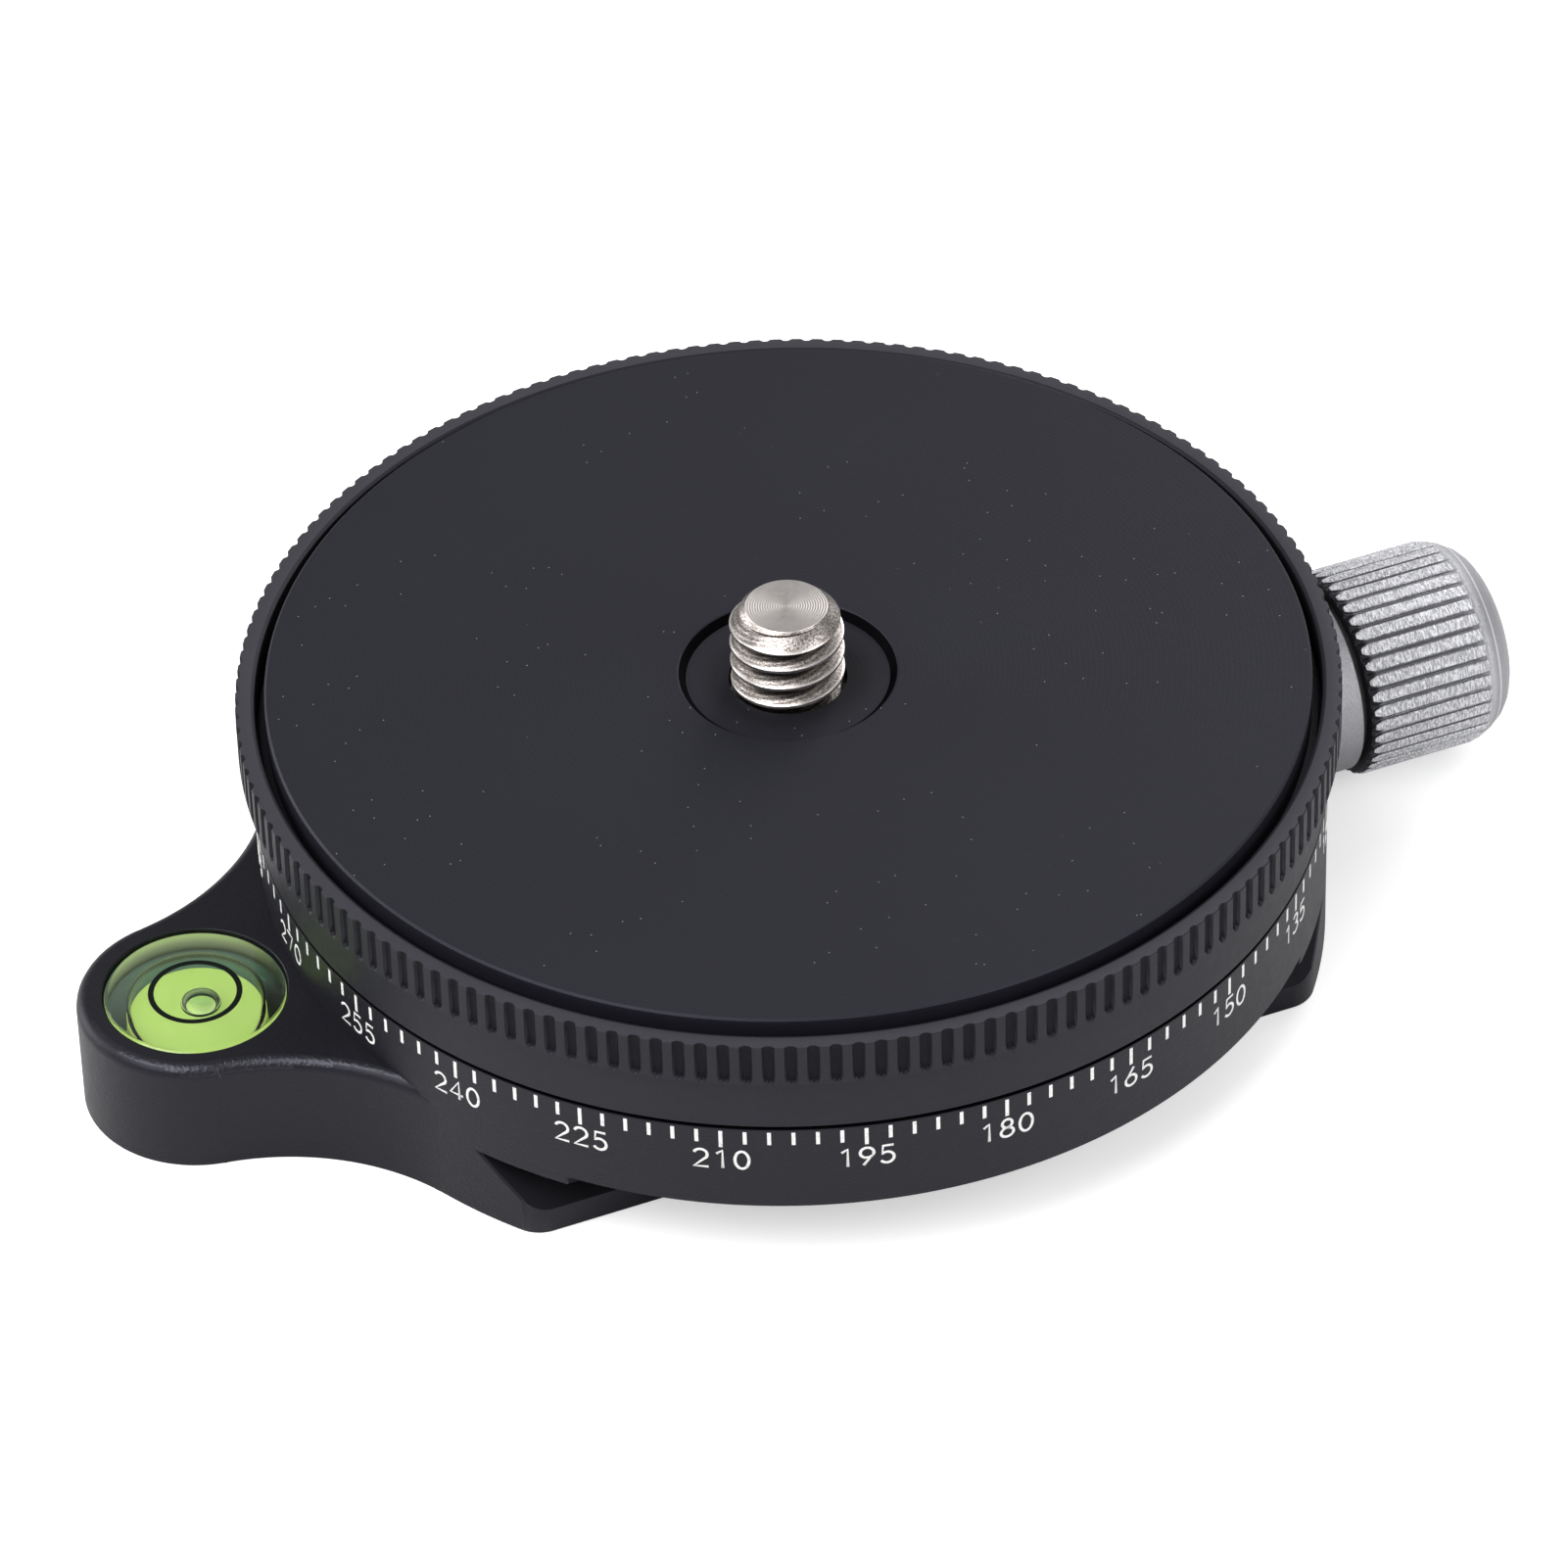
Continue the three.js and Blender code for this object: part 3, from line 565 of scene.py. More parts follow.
def digit(figure, degrees):
    """One painted figure, pressed almost flat on the ring and turned round the pan axis."""
    curve = bpy.data.curves.new("figure", "CURVE")
    curve.dimensions = "3D"
    curve.bevel_depth = stroke_half * mm
    curve.bevel_resolution = 1
    curve.use_fill_caps = True
    for points in digit_strokes[figure]:
        line = curve.splines.new("POLY")
        line.points.add(len(points) - 1)
        for point, (x, y) in zip(line.points, points):
            point.co = (x * mm, y * number_squeeze * mm, 0, 1)
    drawn = bpy.data.objects.new("figure", curve)
    bpy.context.collection.objects.link(drawn)
    activate(drawn)
    bpy.ops.object.convert(target="MESH")
    drawn = bpy.context.object
    drawn.scale.z = paint / stroke_half * 1.6
    bpy.ops.object.transform_apply()
    drawn.rotation_euler = (math.pi / 2, 0, 0)
    drawn.location = (0, -ring_radius * mm, number_foot * mm)
    bpy.ops.object.transform_apply()
    drawn.rotation_euler.z = math.radians(degrees)
    bpy.ops.object.transform_apply()
    return drawn


def spin_copies(piece, count):
    """Repeats a piece's mesh all the way round the pan axis, this many in all."""
    pick(piece, "VERT", lambda vertex: True)
    angle = math.radians(360) * (count - 1) / count
    bpy.ops.mesh.spin(
        steps=count - 1, dupli=True, angle=angle, center=(0, 0, 0), axis=(0, 0, 1)
    )
    close_edit()


ticks = [tick(tick_foot, 2.5 * step) for step in range(1, 6)] + [tick(long_tick_foot, 0)]
activate(*ticks)
bpy.ops.object.join()
scale = ticks[0]
scale.name = "degree_scale"
spin_copies(scale, 24)
figures = []
for number in range(0, 360, 15):
    text = str(number)
    for index, figure in enumerate(text):
        offset = (index - (len(text) - 1) / 2) * number_pitch / ring_radius
        figures.append(digit(figure, 180 - number + math.degrees(offset)))
activate(scale, *figures)
bpy.ops.object.join()
pick(scale, "VERT", lambda vertex: True)
bpy.ops.mesh.remove_doubles(threshold=0.001 * mm)
bpy.ops.mesh.normals_make_consistent(inside=False)
close_edit()


def scale_paint():
    """Matt white paint, a little thin and uneven where it lies in the engraving."""
    shader = Shader("scale_paint")
    patches = shader.noise(0.16, 3)
    base = shader.mix(patches.above(0.36, 0.22), tint(0.45, 0.45, 0.44), tint(0.77, 0.77, 0.76))
    return shader.finish(Base_Color=base, Roughness=0.6, Normal=shader.bump(patches, 0.006))


scale.data.materials.clear()
scale.data.materials.append(scale_paint())
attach(scale, "base")


# Bottom cover. A milled aluminium plate let into the foot from below, black anodised, held by four
# countersunk screws. Its boss carries a flanged stainless insert with the tripod thread.

cover_low = 0.1
cover_high = 1.6


def thread(name, root, crest, pitch, start, turns, steps):
    """A 60 degree thread: one tooth's flank line, wound up the pan axis."""
    bpy.ops.object.select_all(action="DESELECT")
    bpy.ops.mesh.primitive_plane_add(size=mm, location=(root * mm, 0, start * mm))
    bpy.ops.object.transform_apply()
    piece = bpy.context.object
    piece.name = name
    bpy.ops.object.mode_set(mode="EDIT")
    bpy.ops.mesh.select_all(action="SELECT")
    bpy.ops.mesh.merge(type="CENTER")
    run = (pitch / 2 - pitch / 8) * mm
    flat = pitch / 8 * mm
    rise = (crest - root) * mm
    for step in ((0, 0, flat / 2), (rise, 0, run), (0, 0, flat), (-rise, 0, run), (0, 0, flat / 2)):
        bpy.ops.mesh.extrude_region_move(TRANSFORM_OT_translate={"value": step})
    bpy.ops.object.mode_set(mode="OBJECT")
    apply_modifier(
        piece, "SCREW", screw_offset=pitch * mm, iterations=turns, steps=steps, render_steps=steps,
        use_merge_vertices=True, merge_threshold=0.0005 * mm,
    )
    saw(piece, (0, 0, start + pitch * (turns - 1)), (0, 0, 1))
    saw(piece, (0, 0, start + pitch), (0, 0, -1))
    pick(piece, "VERT", lambda vertex: True)
    bpy.ops.mesh.remove_doubles(threshold=0.0005 * mm)
    bpy.ops.mesh.normals_make_consistent(inside=False)
    close_edit()
    return piece


def break_edges(piece, width):
    """Breaks every sharp edge of a piece by a small bevel."""
    limit = math.radians(32)
    apply_modifier(
        piece, "BEVEL", width=width * mm, segments=2, limit_method="ANGLE", angle_limit=limit
    )


def flat_screw(name, place, face, head, head_height, shank, length):
    """A countersunk screw driven upwards, with a hexagon socket."""
    profile = [
        (head - 0.06, face),
        (head, face + 0.08),
        (shank, face + head_height),
        (shank, face + length - 0.2),
        (shank - 0.2, face + length),
    ]
    screw = turn(name, profile, 48, place)
    socket = [(head * 0.4, face - 1), (head * 0.4, face + head_height * 0.75)]
    machine(screw, turn("socket", socket, 6, place))
    break_edges(screw, 0.04)
    smooth(screw)
    return screw


def black_oxide():
    """Black oxide on steel, a little worn and oily."""
    shader = Shader("black_oxide")
    worn = shader.noise(0.5, 4)
    base = shader.mix(worn, tint(0.02, 0.02, 0.022), tint(0.07, 0.07, 0.072))
    return shader.finish(
        Base_Color=base,
        Metallic=0.7,
        Roughness=worn * 0.2 + 0.26,
        Normal=shader.bump(shader.noise(0.08), 0.004),
    )


cover = slab("underside_cover", 19.5, 16, corner=5, low=cover_low, high=cover_high)
machine(cover, turn("boss", [(7.6, 0.8), (7.6, 7.2), (7.4, 7.4)], 96), operation="UNION")
machine(cover, turn("boss_bore", [(6.1, -1), (6.1, 9)], 96))
for place in cover_screw_places:
    countersink = [(1.8, -1), (1.8, 0.18), (1.1, 0.88), (1.1, 3)]
    machine(cover, turn("countersink", countersink, 48, place))
break_edges(cover, 0.1)
smooth(cover)
cover.data.materials.append(anodised("black_anodised_cover", (0.014, 0.014, 0.017), 0.4))
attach(cover, "base")
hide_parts("bottom_cover")


def lathe_steel(name, colour, roughness, crest=0, end=0, point=0):
    """Turned stainless steel: fine tool rings around the pan axis, and brighter and duller spots.
    A stud, given by its crests' radius, its end's height and the length of its point, has darker,
    scratched flanks below its bright end face, and its roots below the point painted darker:
    painted shade."""
    shader = Shader(name)
    x, y, z = shader.axes()
    reach = (x * x + y * y) ** 0.5
    tool = ((reach + z * 0.8) * 45).sine() * 0.5 + 0.5
    spots = shader.noise(0.35, 4)
    base = shader.mix(spots * 0.7 + tool * 0.3, tint(*colour, 0.78), tint(*colour, 1.08))
    relief = tool * 0.8 + spots * 0.2
    dullness = spots * 0.12 + (roughness - 0.06)
    if crest:
        sides = z.below(end - 0.03, 0.04)
        scratch = shader.noise(0.09, 3, shader.stretched(1, 1, 2.5))
        flank = reach.below(crest - 0.1, 0.14) * sides
        # The thread's roots below the point are painted darker: painted shade in the hollows.
        root = reach.below(crest - 0.45, 0.4) * z.below(end - point - 0.1, 0.1)
        stain = flank * (scratch.above(0.5, 0.2) * 0.5 + 0.4)
        base = shader.mix(stain, base, tint(0.14, 0.115, 0.1))
        base = shader.mix(root * 0.8, base, tint(0.05, 0.04, 0.035))
        relief = relief + scratch * sides * 1.8
        dullness = dullness + sides * 0.02
    return shader.finish(
        Base_Color=base,
        Metallic=1.0,
        Roughness=dullness,
        Normal=shader.bump(relief, 0.009),
    )


insert_profile = [
    (3.9, 0.1),
    (5.9, 0.1),
    (6.0, 0.2),
    (6.0, 7.45),
    (6.8, 7.45),
    (6.8, 8.15),
    (6.7, 8.25),
    (3.9, 8.25),
    (3.9, 0.1),
]
insert = turn("tripod_socket", insert_profile, 96)
tap = thread("tap", root=3.85, crest=4.76, pitch=1.5875, start=-3.0, turns=10, steps=72)
machine(insert, tap)
machine(insert, turn("lead_in", [(6.4, -0.94), (3.4, 2.06)], 96))
smooth(insert)
insert.data.materials.append(lathe_steel("insert_steel", (0.62, 0.6, 0.57), 0.34))
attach(insert, "base")
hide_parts("tripod_insert")

screw_steel = black_oxide()
for index, place in enumerate(cover_screw_places, start=1):
    name = f"cover_fastener_{index}"
    screw = flat_screw(name, place, face=0.16, head=1.7, head_height=0.7, shank=1.0, length=4.2)
    screw.data.materials.append(screw_steel)
    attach(screw, "base")
    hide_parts(f"cover_screw_{index}")


# Bearings. A brass bush guides the spindle, and two white acetal washers carry the platform and the
# retaining ring. They are turned parts that lie hidden in the stator and show only in its gaps.

def dress(material, *nodes):
    """Gives frame nodes their finish."""
    for node in nodes:
        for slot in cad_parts[node].material_slots:
            slot.material = material


def turned_brass():
    shader = Shader("turned_brass")
    tarnish = shader.noise(1.4, 4)
    base = shader.mix(tarnish, tint(0.5, 0.34, 0.11), tint(0.75, 0.56, 0.24))
    scored = shader.noise(0.05, 2, shader.stretched(1, 1, 8))
    return shader.finish(
        Base_Color=base,
        Metallic=1.0,
        Roughness=tarnish * 0.2 + 0.24,
        Normal=shader.bump(scored, 0.003),
    )


def acetal():
    shader = Shader("white_acetal")
    haze = shader.noise(0.8, 3)
    base = shader.mix(haze, tint(0.78, 0.77, 0.72), tint(0.87, 0.86, 0.83))
    return shader.finish(
        Base_Color=base, Roughness=haze * 0.2 + 0.4, Normal=shader.bump(haze, 0.004)
    )


brass = turned_brass()
dress(brass, "spindle_bush")
dress(acetal(), "upper_glide_washer", "lower_glide_washer")


# Platform. One turned aluminium part: a smooth band, a fluted rim to grip, a flat web and the
# spindle that runs in the stator. The flutes are short scoops of a round cutter, 160 in all.

band_bottom = 10.89
rim_radius = 30.7
rim_low = 14.6
rim_high = 17.2
rim_top = 17.25
rim_top_radius = 30.65
flute_count = 160
flute_steps = 14
flute_depth = 0.22
flute_shares = {
    14.7: (0.5, 0.35, 0.0, 0.0),
    14.82: (0.95, 0.9, 0.5, 0.0),
    15.0: (1.0, 1.0, 0.95, 0.5),
    15.3: (1.0, 1.0, 1.0, 0.85),
    16.8: (1.0, 1.0, 1.0, 0.85),
}
rim_notches = {rim_high: (1.0, 1.0, 0.95, 0.7), rim_top: (0.75, 0.72, 0.6, 0.25)}
platform_profile = [
    (8.2, 9.2),
    (8.2, 2.8),
    (12, 2.8),
    (12, 4.4),
    (13.5, 4.4),
    (13.5, 11.17),
    (26.8, 11.17),
    (26.8, band_bottom),
    (29.9, band_bottom),
    (30, band_bottom + 0.1),
    (30, 14.32),
    (rim_radius, rim_low),
    *[(rim_radius, height) for height in flute_shares],
    (rim_radius, rim_high),
    (rim_top_radius, rim_top),
    (29.83, rim_top),
    (29.72, rim_top - 0.03),
    (29.63, rim_top - 0.1),
    (29.6, rim_top - 0.2),
    (29.6, 14.87),
    (7, 14.87),
    (7, 12.42),
]


def flute_column(vertex):
    """How many steps a rim vertex lies from the middle of its flute."""
    angle = math.atan2(vertex.co.y, vertex.co.x)
    step = round(angle / (2 * math.pi) * flute_count * flute_steps) % flute_steps
    return min(step, flute_steps - step)


def sink_columns(piece, height, column, depth, radius, column_of):
    """Draws one set of vertices at one height in towards the axis."""

    def chosen(vertex):
        level = abs(vertex.co.z / mm - height) < 0.01
        outside = vertex.co.to_2d().length / mm > radius - 0.01
        return level and outside and column_of(vertex) == column

    pick(piece, "VERT", chosen)
    share = (radius - depth) / radius
    bpy.ops.transform.resize(value=(share, share, 1), center_override=(0, 0, height * mm))
    close_edit()


platform = turn("platform", platform_profile, flute_count * flute_steps)
for height, shares in flute_shares.items():
    for column, share in enumerate(shares):
        if share:
            sink_columns(platform, height, column, flute_depth * share, rim_radius, flute_column)
for height, shares in rim_notches.items():
    for column, share in enumerate(shares):
        sink_columns(platform, height, column, flute_depth * share, rim_top_radius, flute_column)
smooth(platform, 24)
platform.data.materials.append(
    anodised("black_anodised_platform", (0.0085, 0.0085, 0.0115), 0.5, shine=0.3)
)


def in_flute(face):
    """A face that lies inside a flute."""
    middle, reach = face_middle(face)
    return 30.1 < reach < rim_radius - 0.1 and rim_low < middle.z < rim_high


def on_rim_top(face):
    return face_middle(face)[0].z > rim_top - 0.01


# The faces inside the flutes are painted darker and duller than the lands: painted shade in the
# scoops.
flute_painted_shade = anodised("black_anodised_flutes_painted_shade", (0.004, 0.004, 0.0056), 0.55, shine=0.14)
shade_faces(platform, flute_painted_shade, in_flute)
# The rim's flat top gets a lighter, shinier copy of the anodising: painted light on its level face.
rim_top_painted_light = anodised("black_anodised_rim", (0.022, 0.022, 0.027), 0.5, shine=0.55)
shade_faces(platform, rim_top_painted_light, on_rim_top)
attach(platform, "rotor")
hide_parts("rotating_platform")


# Retaining ring. A stainless ring screwed under the spindle by four small screws, which keeps the
# platform in the stator. It is closed in by the bottom cover.

hidden_steel = lathe_steel("hidden_steel", (0.6, 0.58, 0.56), 0.3)
dress(hidden_steel, "retaining_ring")
dress(screw_steel, *[f"retaining_screw_{index}" for index in range(1, 5)])


# Camera stud. A 1/4 inch 20 stud, lathe turned from stainless steel, with a hexagon head caught
# between the platform and the top plate.

stud_radius = 3.175
stud_root = 2.38
stud_top = 22.38
stud_point = 0.9
shank_radius = stud_radius + 0.005
stud = thread("stud", stud_root, stud_radius, pitch=1.27, start=14.939, turns=8, steps=128)
shank = turn("shank", [(shank_radius, 13.6), (shank_radius, 16.735)], 120)
machine(stud, shank, operation="UNION")
wide = stud_radius + 1
envelope = turn(
    "stud_envelope",
    [(wide, 12), (wide, stud_top - stud_point - 1), (stud_radius - stud_point, stud_top)],
    192,
)
machine(stud, envelope, operation="INTERSECT")
head = turn("stud_head", [(6.2, 12.47), (6.4, 12.67), (6.4, 14.67), (6.2, 14.87)], 6)
machine(stud, head, operation="UNION")
smooth(stud, 40)
stud.data.materials.append(
    lathe_steel("stud_steel", (0.82, 0.77, 0.74), 0.3, stud_radius, stud_top, stud_point)
)
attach(stud, "rotor")
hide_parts("camera_stud")


# Top plate. A faced aluminium disc, black anodised to a fine matt, that stands a little above the
# rim, with a shallow dish turned around the stud. Four screws hold it from below.

plate_radius = 29.05
plate_top = 17.8
dish_radius = 6.1
dish_depth = 0.43
plate_profile = [
    (3.3, 14.92),
    (29.4, 14.92),
    (29.4, 15.77),
    (plate_radius, 15.77),
    (plate_radius, plate_top - 0.12),
    (plate_radius - 0.12, plate_top),
    (dish_radius + 0.05, plate_top),
    (dish_radius - 0.03, plate_top - 0.05),
    (dish_radius - dish_depth, plate_top - dish_depth),
    (3.3, plate_top - dish_depth),
    (3.3, 14.92),
]


def plate_anodising():
    """Matt black anodising with a very fine grain, faint facing rings, a little dust, and painted
    shade: the dish's floor a little darker, darker still around the stud.
    """
    shader = Shader("black_anodised_plate")
    x, y, z = shader.axes()
    reach = (x * x + y * y) ** 0.5
    grain = shader.noise(0.09, 3)
    cloud = shader.noise(14)
    rings = (reach * 21 + shader.noise(6) * 3).sine() * 0.5 + 0.5
    dye = grain * 0.5 + cloud * 0.5
    base = shader.mix(dye, tint(0.0065, 0.0065, 0.01), tint(0.0115, 0.0115, 0.017))
    cells = shader.node(
        "ShaderNodeTexVoronoi",
        {"voronoi_dimensions": "2D"},
        {"Vector": shader.place, "Scale": 1 / (2.3 * mm)},
        "Distance",
    )
    on_face = z.above(plate_top - dish_depth - 0.1, 0.02) * reach.below(plate_radius - 0.13, 0.02)
    specks = cells.below(0.013, 0.008) * shader.noise(5, 0).above(0.56, 0.06) * on_face
    # The dish's floor, and more so a ring around the stud's foot, are painted towards black:
    # painted shade.
    dish = reach.below(dish_radius - dish_depth + 0.05, 0.05)
    stud_painted_shade = reach.below(4.5, 1.8) * dish
    base = shader.mix(dish * 0.1 + stud_painted_shade * 0.6, base, tint(0.001, 0.001, 0.0015))
    base = shader.mix(specks * 0.5, base, tint(0.6, 0.6, 0.6))
    relief = grain * 0.8 + rings * 0.2
    return shader.finish(
        Base_Color=base,
        Roughness=shader.noise(0.5, 4) * 0.1 + 0.47 + stud_painted_shade * 0.1,
        Specular_IOR_Level=0.28,
        Specular_Tint=tint(0.86, 0.86, 1.0),
        Normal=shader.bump(relief, 0.008),
    )


plate = turn("seat_plate", plate_profile, 288)
smooth(plate, 24)
plate.data.materials.append(plate_anodising())


def plate_wall(face, near, far):
    """A face of the plate that stands upright or slopes, between two distances from the axis."""
    middle, reach = face_middle(face)
    high = plate_top - dish_depth - 0.4 < middle.z < plate_top - 0.1
    return high and face.normal.z < 0.8 and near < reach < far


# The plate's edge wall is painted darker and duller: painted shade in the gap between plate and
# rim.
rim_wall_painted_shade = anodised("black_anodised_rim_wall_painted_shade", (0.004, 0.004, 0.0056), 0.55, shine=0.13)
shade_faces(plate, rim_wall_painted_shade, lambda face: plate_wall(face, plate_radius - 0.5, plate_radius + 0.5))
# The dish's wall is painted near black: painted shade round the stud.
dish_wall_painted_shade = anodised("black_anodised_dish_wall_painted_shade", (0.001, 0.001, 0.0015), 0.6, shine=0.02)
shade_faces(plate, dish_wall_painted_shade, lambda face: plate_wall(face, dish_radius - 0.6, dish_radius + 0.1))
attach(plate, "rotor")
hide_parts("top_plate")
dress(screw_steel, *[f"plate_screw_{index}" for index in range(1, 5)])


# Round level. A clear acrylic vial glued in its pocket in the lug. It stands on a yellow-green
# moulded plug, has a shallow layer of clear liquid above it with a bubble under the roof, and
# carries a black target ring printed on its top.

vial_top = 6.95
vial_radius = 5.05
chamber_radius = 3.85
chamber_floor = 4.1
chamber_roof = 6.4
glue_top = 6.75
bubble_radius = 1.13
bubble_half_height = 0.85
bubble_middle = chamber_roof - 0.05 - bubble_half_height
bubble_place = (lug_x + 0.24, -0.1)
away = (0.37, 0.93)  # across the vial, from its front to its back


def clear(name, colour, ior, speckle):
    """Clear moulding or liquid, with the faint specks that catch the light in it."""
    shader = Shader(name)
    specks = shader.noise(0.35, 4)
    return shader.finish(
        Base_Color=shader.mix(specks, tint(*colour, 0.97), tint(*colour)),
        Roughness=specks.above(speckle, 0.08) * 0.15 + 0.01,
        Transmission_Weight=1.0,
        IOR=ior,
        Normal=shader.bump(specks, 0.001),
    )


def glowing_plug():
    """The plug's dyed plastic, given a painted glow in its own colour that stands in for the light
    it takes up, brightest on its face; its sides are painted darker further down: painted shade.
    """
    shader = Shader("glowing_plug")
    flow = shader.noise(2.2, 3)
    # Below its face the plug is painted a darker green: painted shade down in the pocket.
    face = shader.axes()[2].above(chamber_floor - 0.6, 1.0)
    base = shader.mix(flow, tint(0.66, 0.84, 0.21), tint(0.74, 0.9, 0.28))
    base = shader.mix(face, tint(0.3, 0.55, 0.07), base)
    return shader.finish(
        Base_Color=base,
        Roughness=flow * 0.2 + 0.3,
        Emission_Color=base,
        Emission_Strength=0.32,
        Normal=shader.bump(flow, 0.01),
    )


def dark_glue():
    """Sealing glue between vial and pocket, which wets the acrylic and shows through it. It is
    black below, where the pocket is deep.
    Above, it is given a painted glow in the plug's colour, strongest on the far side, and low on
    the far side a teal tint: painted light."""
    shader = Shader("dark_glue")
    x, y, z = shader.axes()
    clots = shader.noise(0.9, 4)
    base = shader.mix(clots, tint(0.012, 0.016, 0.014), tint(0.05, 0.06, 0.052))
    x = x - lug_x
    inner = ((x * x + y * y) ** 0.5).below(vial_radius - 0.006, 0.008)
    far = (x * away[0] + y * away[1]) / vial_radius
    side = (x * away[1] - y * away[0]) / vial_radius
    # A teal tint low on the far side: painted light.
    base = shader.mix(z.below(3.95, 0.3) * far.above(0.67, 0.4), base, tint(0.05, 0.15, 0.11))
    # The glow is painted light, strongest on the far side and fading out below.
    lit = (far * 0.75 - side * 0.3 + 0.25).above(0.6, 0.84)
    glow = shader.mix(z.above(6.0, 1.2), tint(0.19, 0.235, 0.13), tint(0.33, 0.44, 0.18))
    glow = shader.mix(z.above(4.9, 1.8), tint(0, 0, 0), glow)
    glow = shader.mix(z.below(4.3, 0.4), glow, tint(0.08, 0.115, 0.09))
    glow = shader.mix(lit * inner, tint(0, 0, 0), glow)
    return shader.finish(
        Base_Color=base,
        Roughness=clots * 0.3 + 0.35,
        Emission_Color=glow,
        Emission_Strength=1.0,
        Normal=shader.bump(clots, 0.02),
    )


def target_ink():
    shader = Shader("target_ink")
    edge = shader.noise(0.2, 3)
    return shader.finish(
        Base_Color=shader.mix(edge, tint(0.003, 0.005, 0.004), tint(0.008, 0.01, 0.009)),
        Roughness=edge * 0.2 + 0.5,
        Specular_IOR_Level=0.08,
        Normal=shader.bump(edge, 0.002),
    )


plug_profile = [
    (4.85, 1.85),
    (4.95, 1.95),
    (4.95, 2.38),
    (chamber_radius + 0.03, 2.42),
    (chamber_radius + 0.03, chamber_floor - 0.08),
    (chamber_radius - 0.05, chamber_floor),
]
plug = turn("level_plug", plug_profile, 128, (lug_x, 0))
smooth(plug, 30)
plug.data.materials.append(glowing_plug())
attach(plug, "base")
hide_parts("level_base")

vial_profile = [
    (chamber_radius, chamber_floor - 0.02),
    (chamber_radius, 2.44),
    (vial_radius, 2.44),
    (vial_radius, vial_top - 0.24),
    (vial_radius - 0.07, vial_top - 0.07),
    (vial_radius - 0.24, vial_top),
]
vial = turn("vial", vial_profile, 160, (lug_x, 0))
smooth(vial, 50)
vial.data.materials.append(clear("clear_acrylic", (0.97, 1.0, 0.93), 1.49, 0.66))
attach(vial, "base")
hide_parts("level_vial")

liquid_profile = [
    (chamber_radius - 0.02, chamber_floor + 0.02),
    (chamber_radius - 0.02, chamber_roof - 0.35),
    (3.6, chamber_roof - 0.15),
    (2.2, chamber_roof - 0.04),
    (0.5, chamber_roof),
]
liquid = turn("vial_liquid", liquid_profile, 128, (lug_x, 0))
smooth(liquid, 50)
liquid.data.materials.append(clear("level_liquid", (0.9, 0.99, 0.92), 0.93, 0.7))
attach(liquid, "base")
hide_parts("level_fluid")

bubble_profile = [
    (
        bubble_radius * math.cos(math.radians(angle)),
        bubble_middle + bubble_half_height * math.sin(math.radians(angle)),
    )
    for angle in range(-84, 85, 8)
]
bubble = turn("vial_bubble", bubble_profile, 96, bubble_place)
smooth(bubble, 60)


def bubble_air():
    """The air in the bubble. Round its waist the liquid turns the light away, painted as a dark
    line around it; its far side is painted teal and its near side given a faint painted glow."""
    shader = Shader("bubble_air")
    x, y, z = shader.axes()
    ripple = shader.noise(0.4)
    # The waist's dark line, the far side's teal and the near side's glow are painted light and
    # shade.
    waist = (z - bubble_middle).size().below(0.16, 0.08)
    far = (x - bubble_place[0]) * away[0] + (y - bubble_place[1]) * away[1]
    far = far / bubble_radius
    base = shader.mix(ripple, tint(0.95, 0.99, 0.97), tint(1, 1, 1))
    base = shader.mix(far.above(0.25, 0.5), base, tint(0.42, 0.58, 0.5))
    dim = far.above(-0.1, 0.6) + waist
    return shader.finish(
        Base_Color=shader.mix(waist, base, tint(0.004, 0.02, 0.012)),
        Roughness=ripple * 0.02,
        Metallic=waist,
        Specular_Tint=tint(0.3, 0.4, 0.3),
        Emission_Color=shader.mix(dim, tint(0.07, 0.08, 0.06), tint(0, 0, 0)),
        Emission_Strength=1.0,
        Transmission_Weight=1.0,
        IOR=0.74,
    )


bubble.data.materials.append(bubble_air())
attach(bubble, "base")

glue_profile = [
    (chamber_radius + 0.08, 2.4),
    (vial_radius + 0.09, 2.4),
    (vial_radius + 0.09, glue_top - 0.1),
    (vial_radius - 0.02, glue_top),
    (vial_radius - 0.02, 2.5),
    (chamber_radius + 0.08, 2.5),
    (chamber_radius + 0.08, 2.4),
]
glue = turn("vial_glue", glue_profile, 128, (lug_x, 0))
smooth(glue)
glue.data.materials.append(dark_glue())
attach(glue, "base")

target_low = vial_top - 0.004
target_high = vial_top + 0.012
target_inner = 2.29
target_outer = 2.61
target_profile = [
    (target_inner, target_low),
    (target_outer, target_low),
    (target_outer, target_high),
    (target_inner, target_high),
    (target_inner, target_low),
]
target = turn("target_ring", target_profile, 128, (lug_x, 0))
smooth(target)
target.data.materials.append(target_ink())
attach(target, "base")


# Lock. A brass shoe, pushed by a stainless screw in a brass bush, brakes the spindle. The knob on
# the screw's end is turned and fluted aluminium, blasted and anodised silver: 40 V flutes with
# flat lands between them, chamfered at the inner end and rounded over at the outer one.

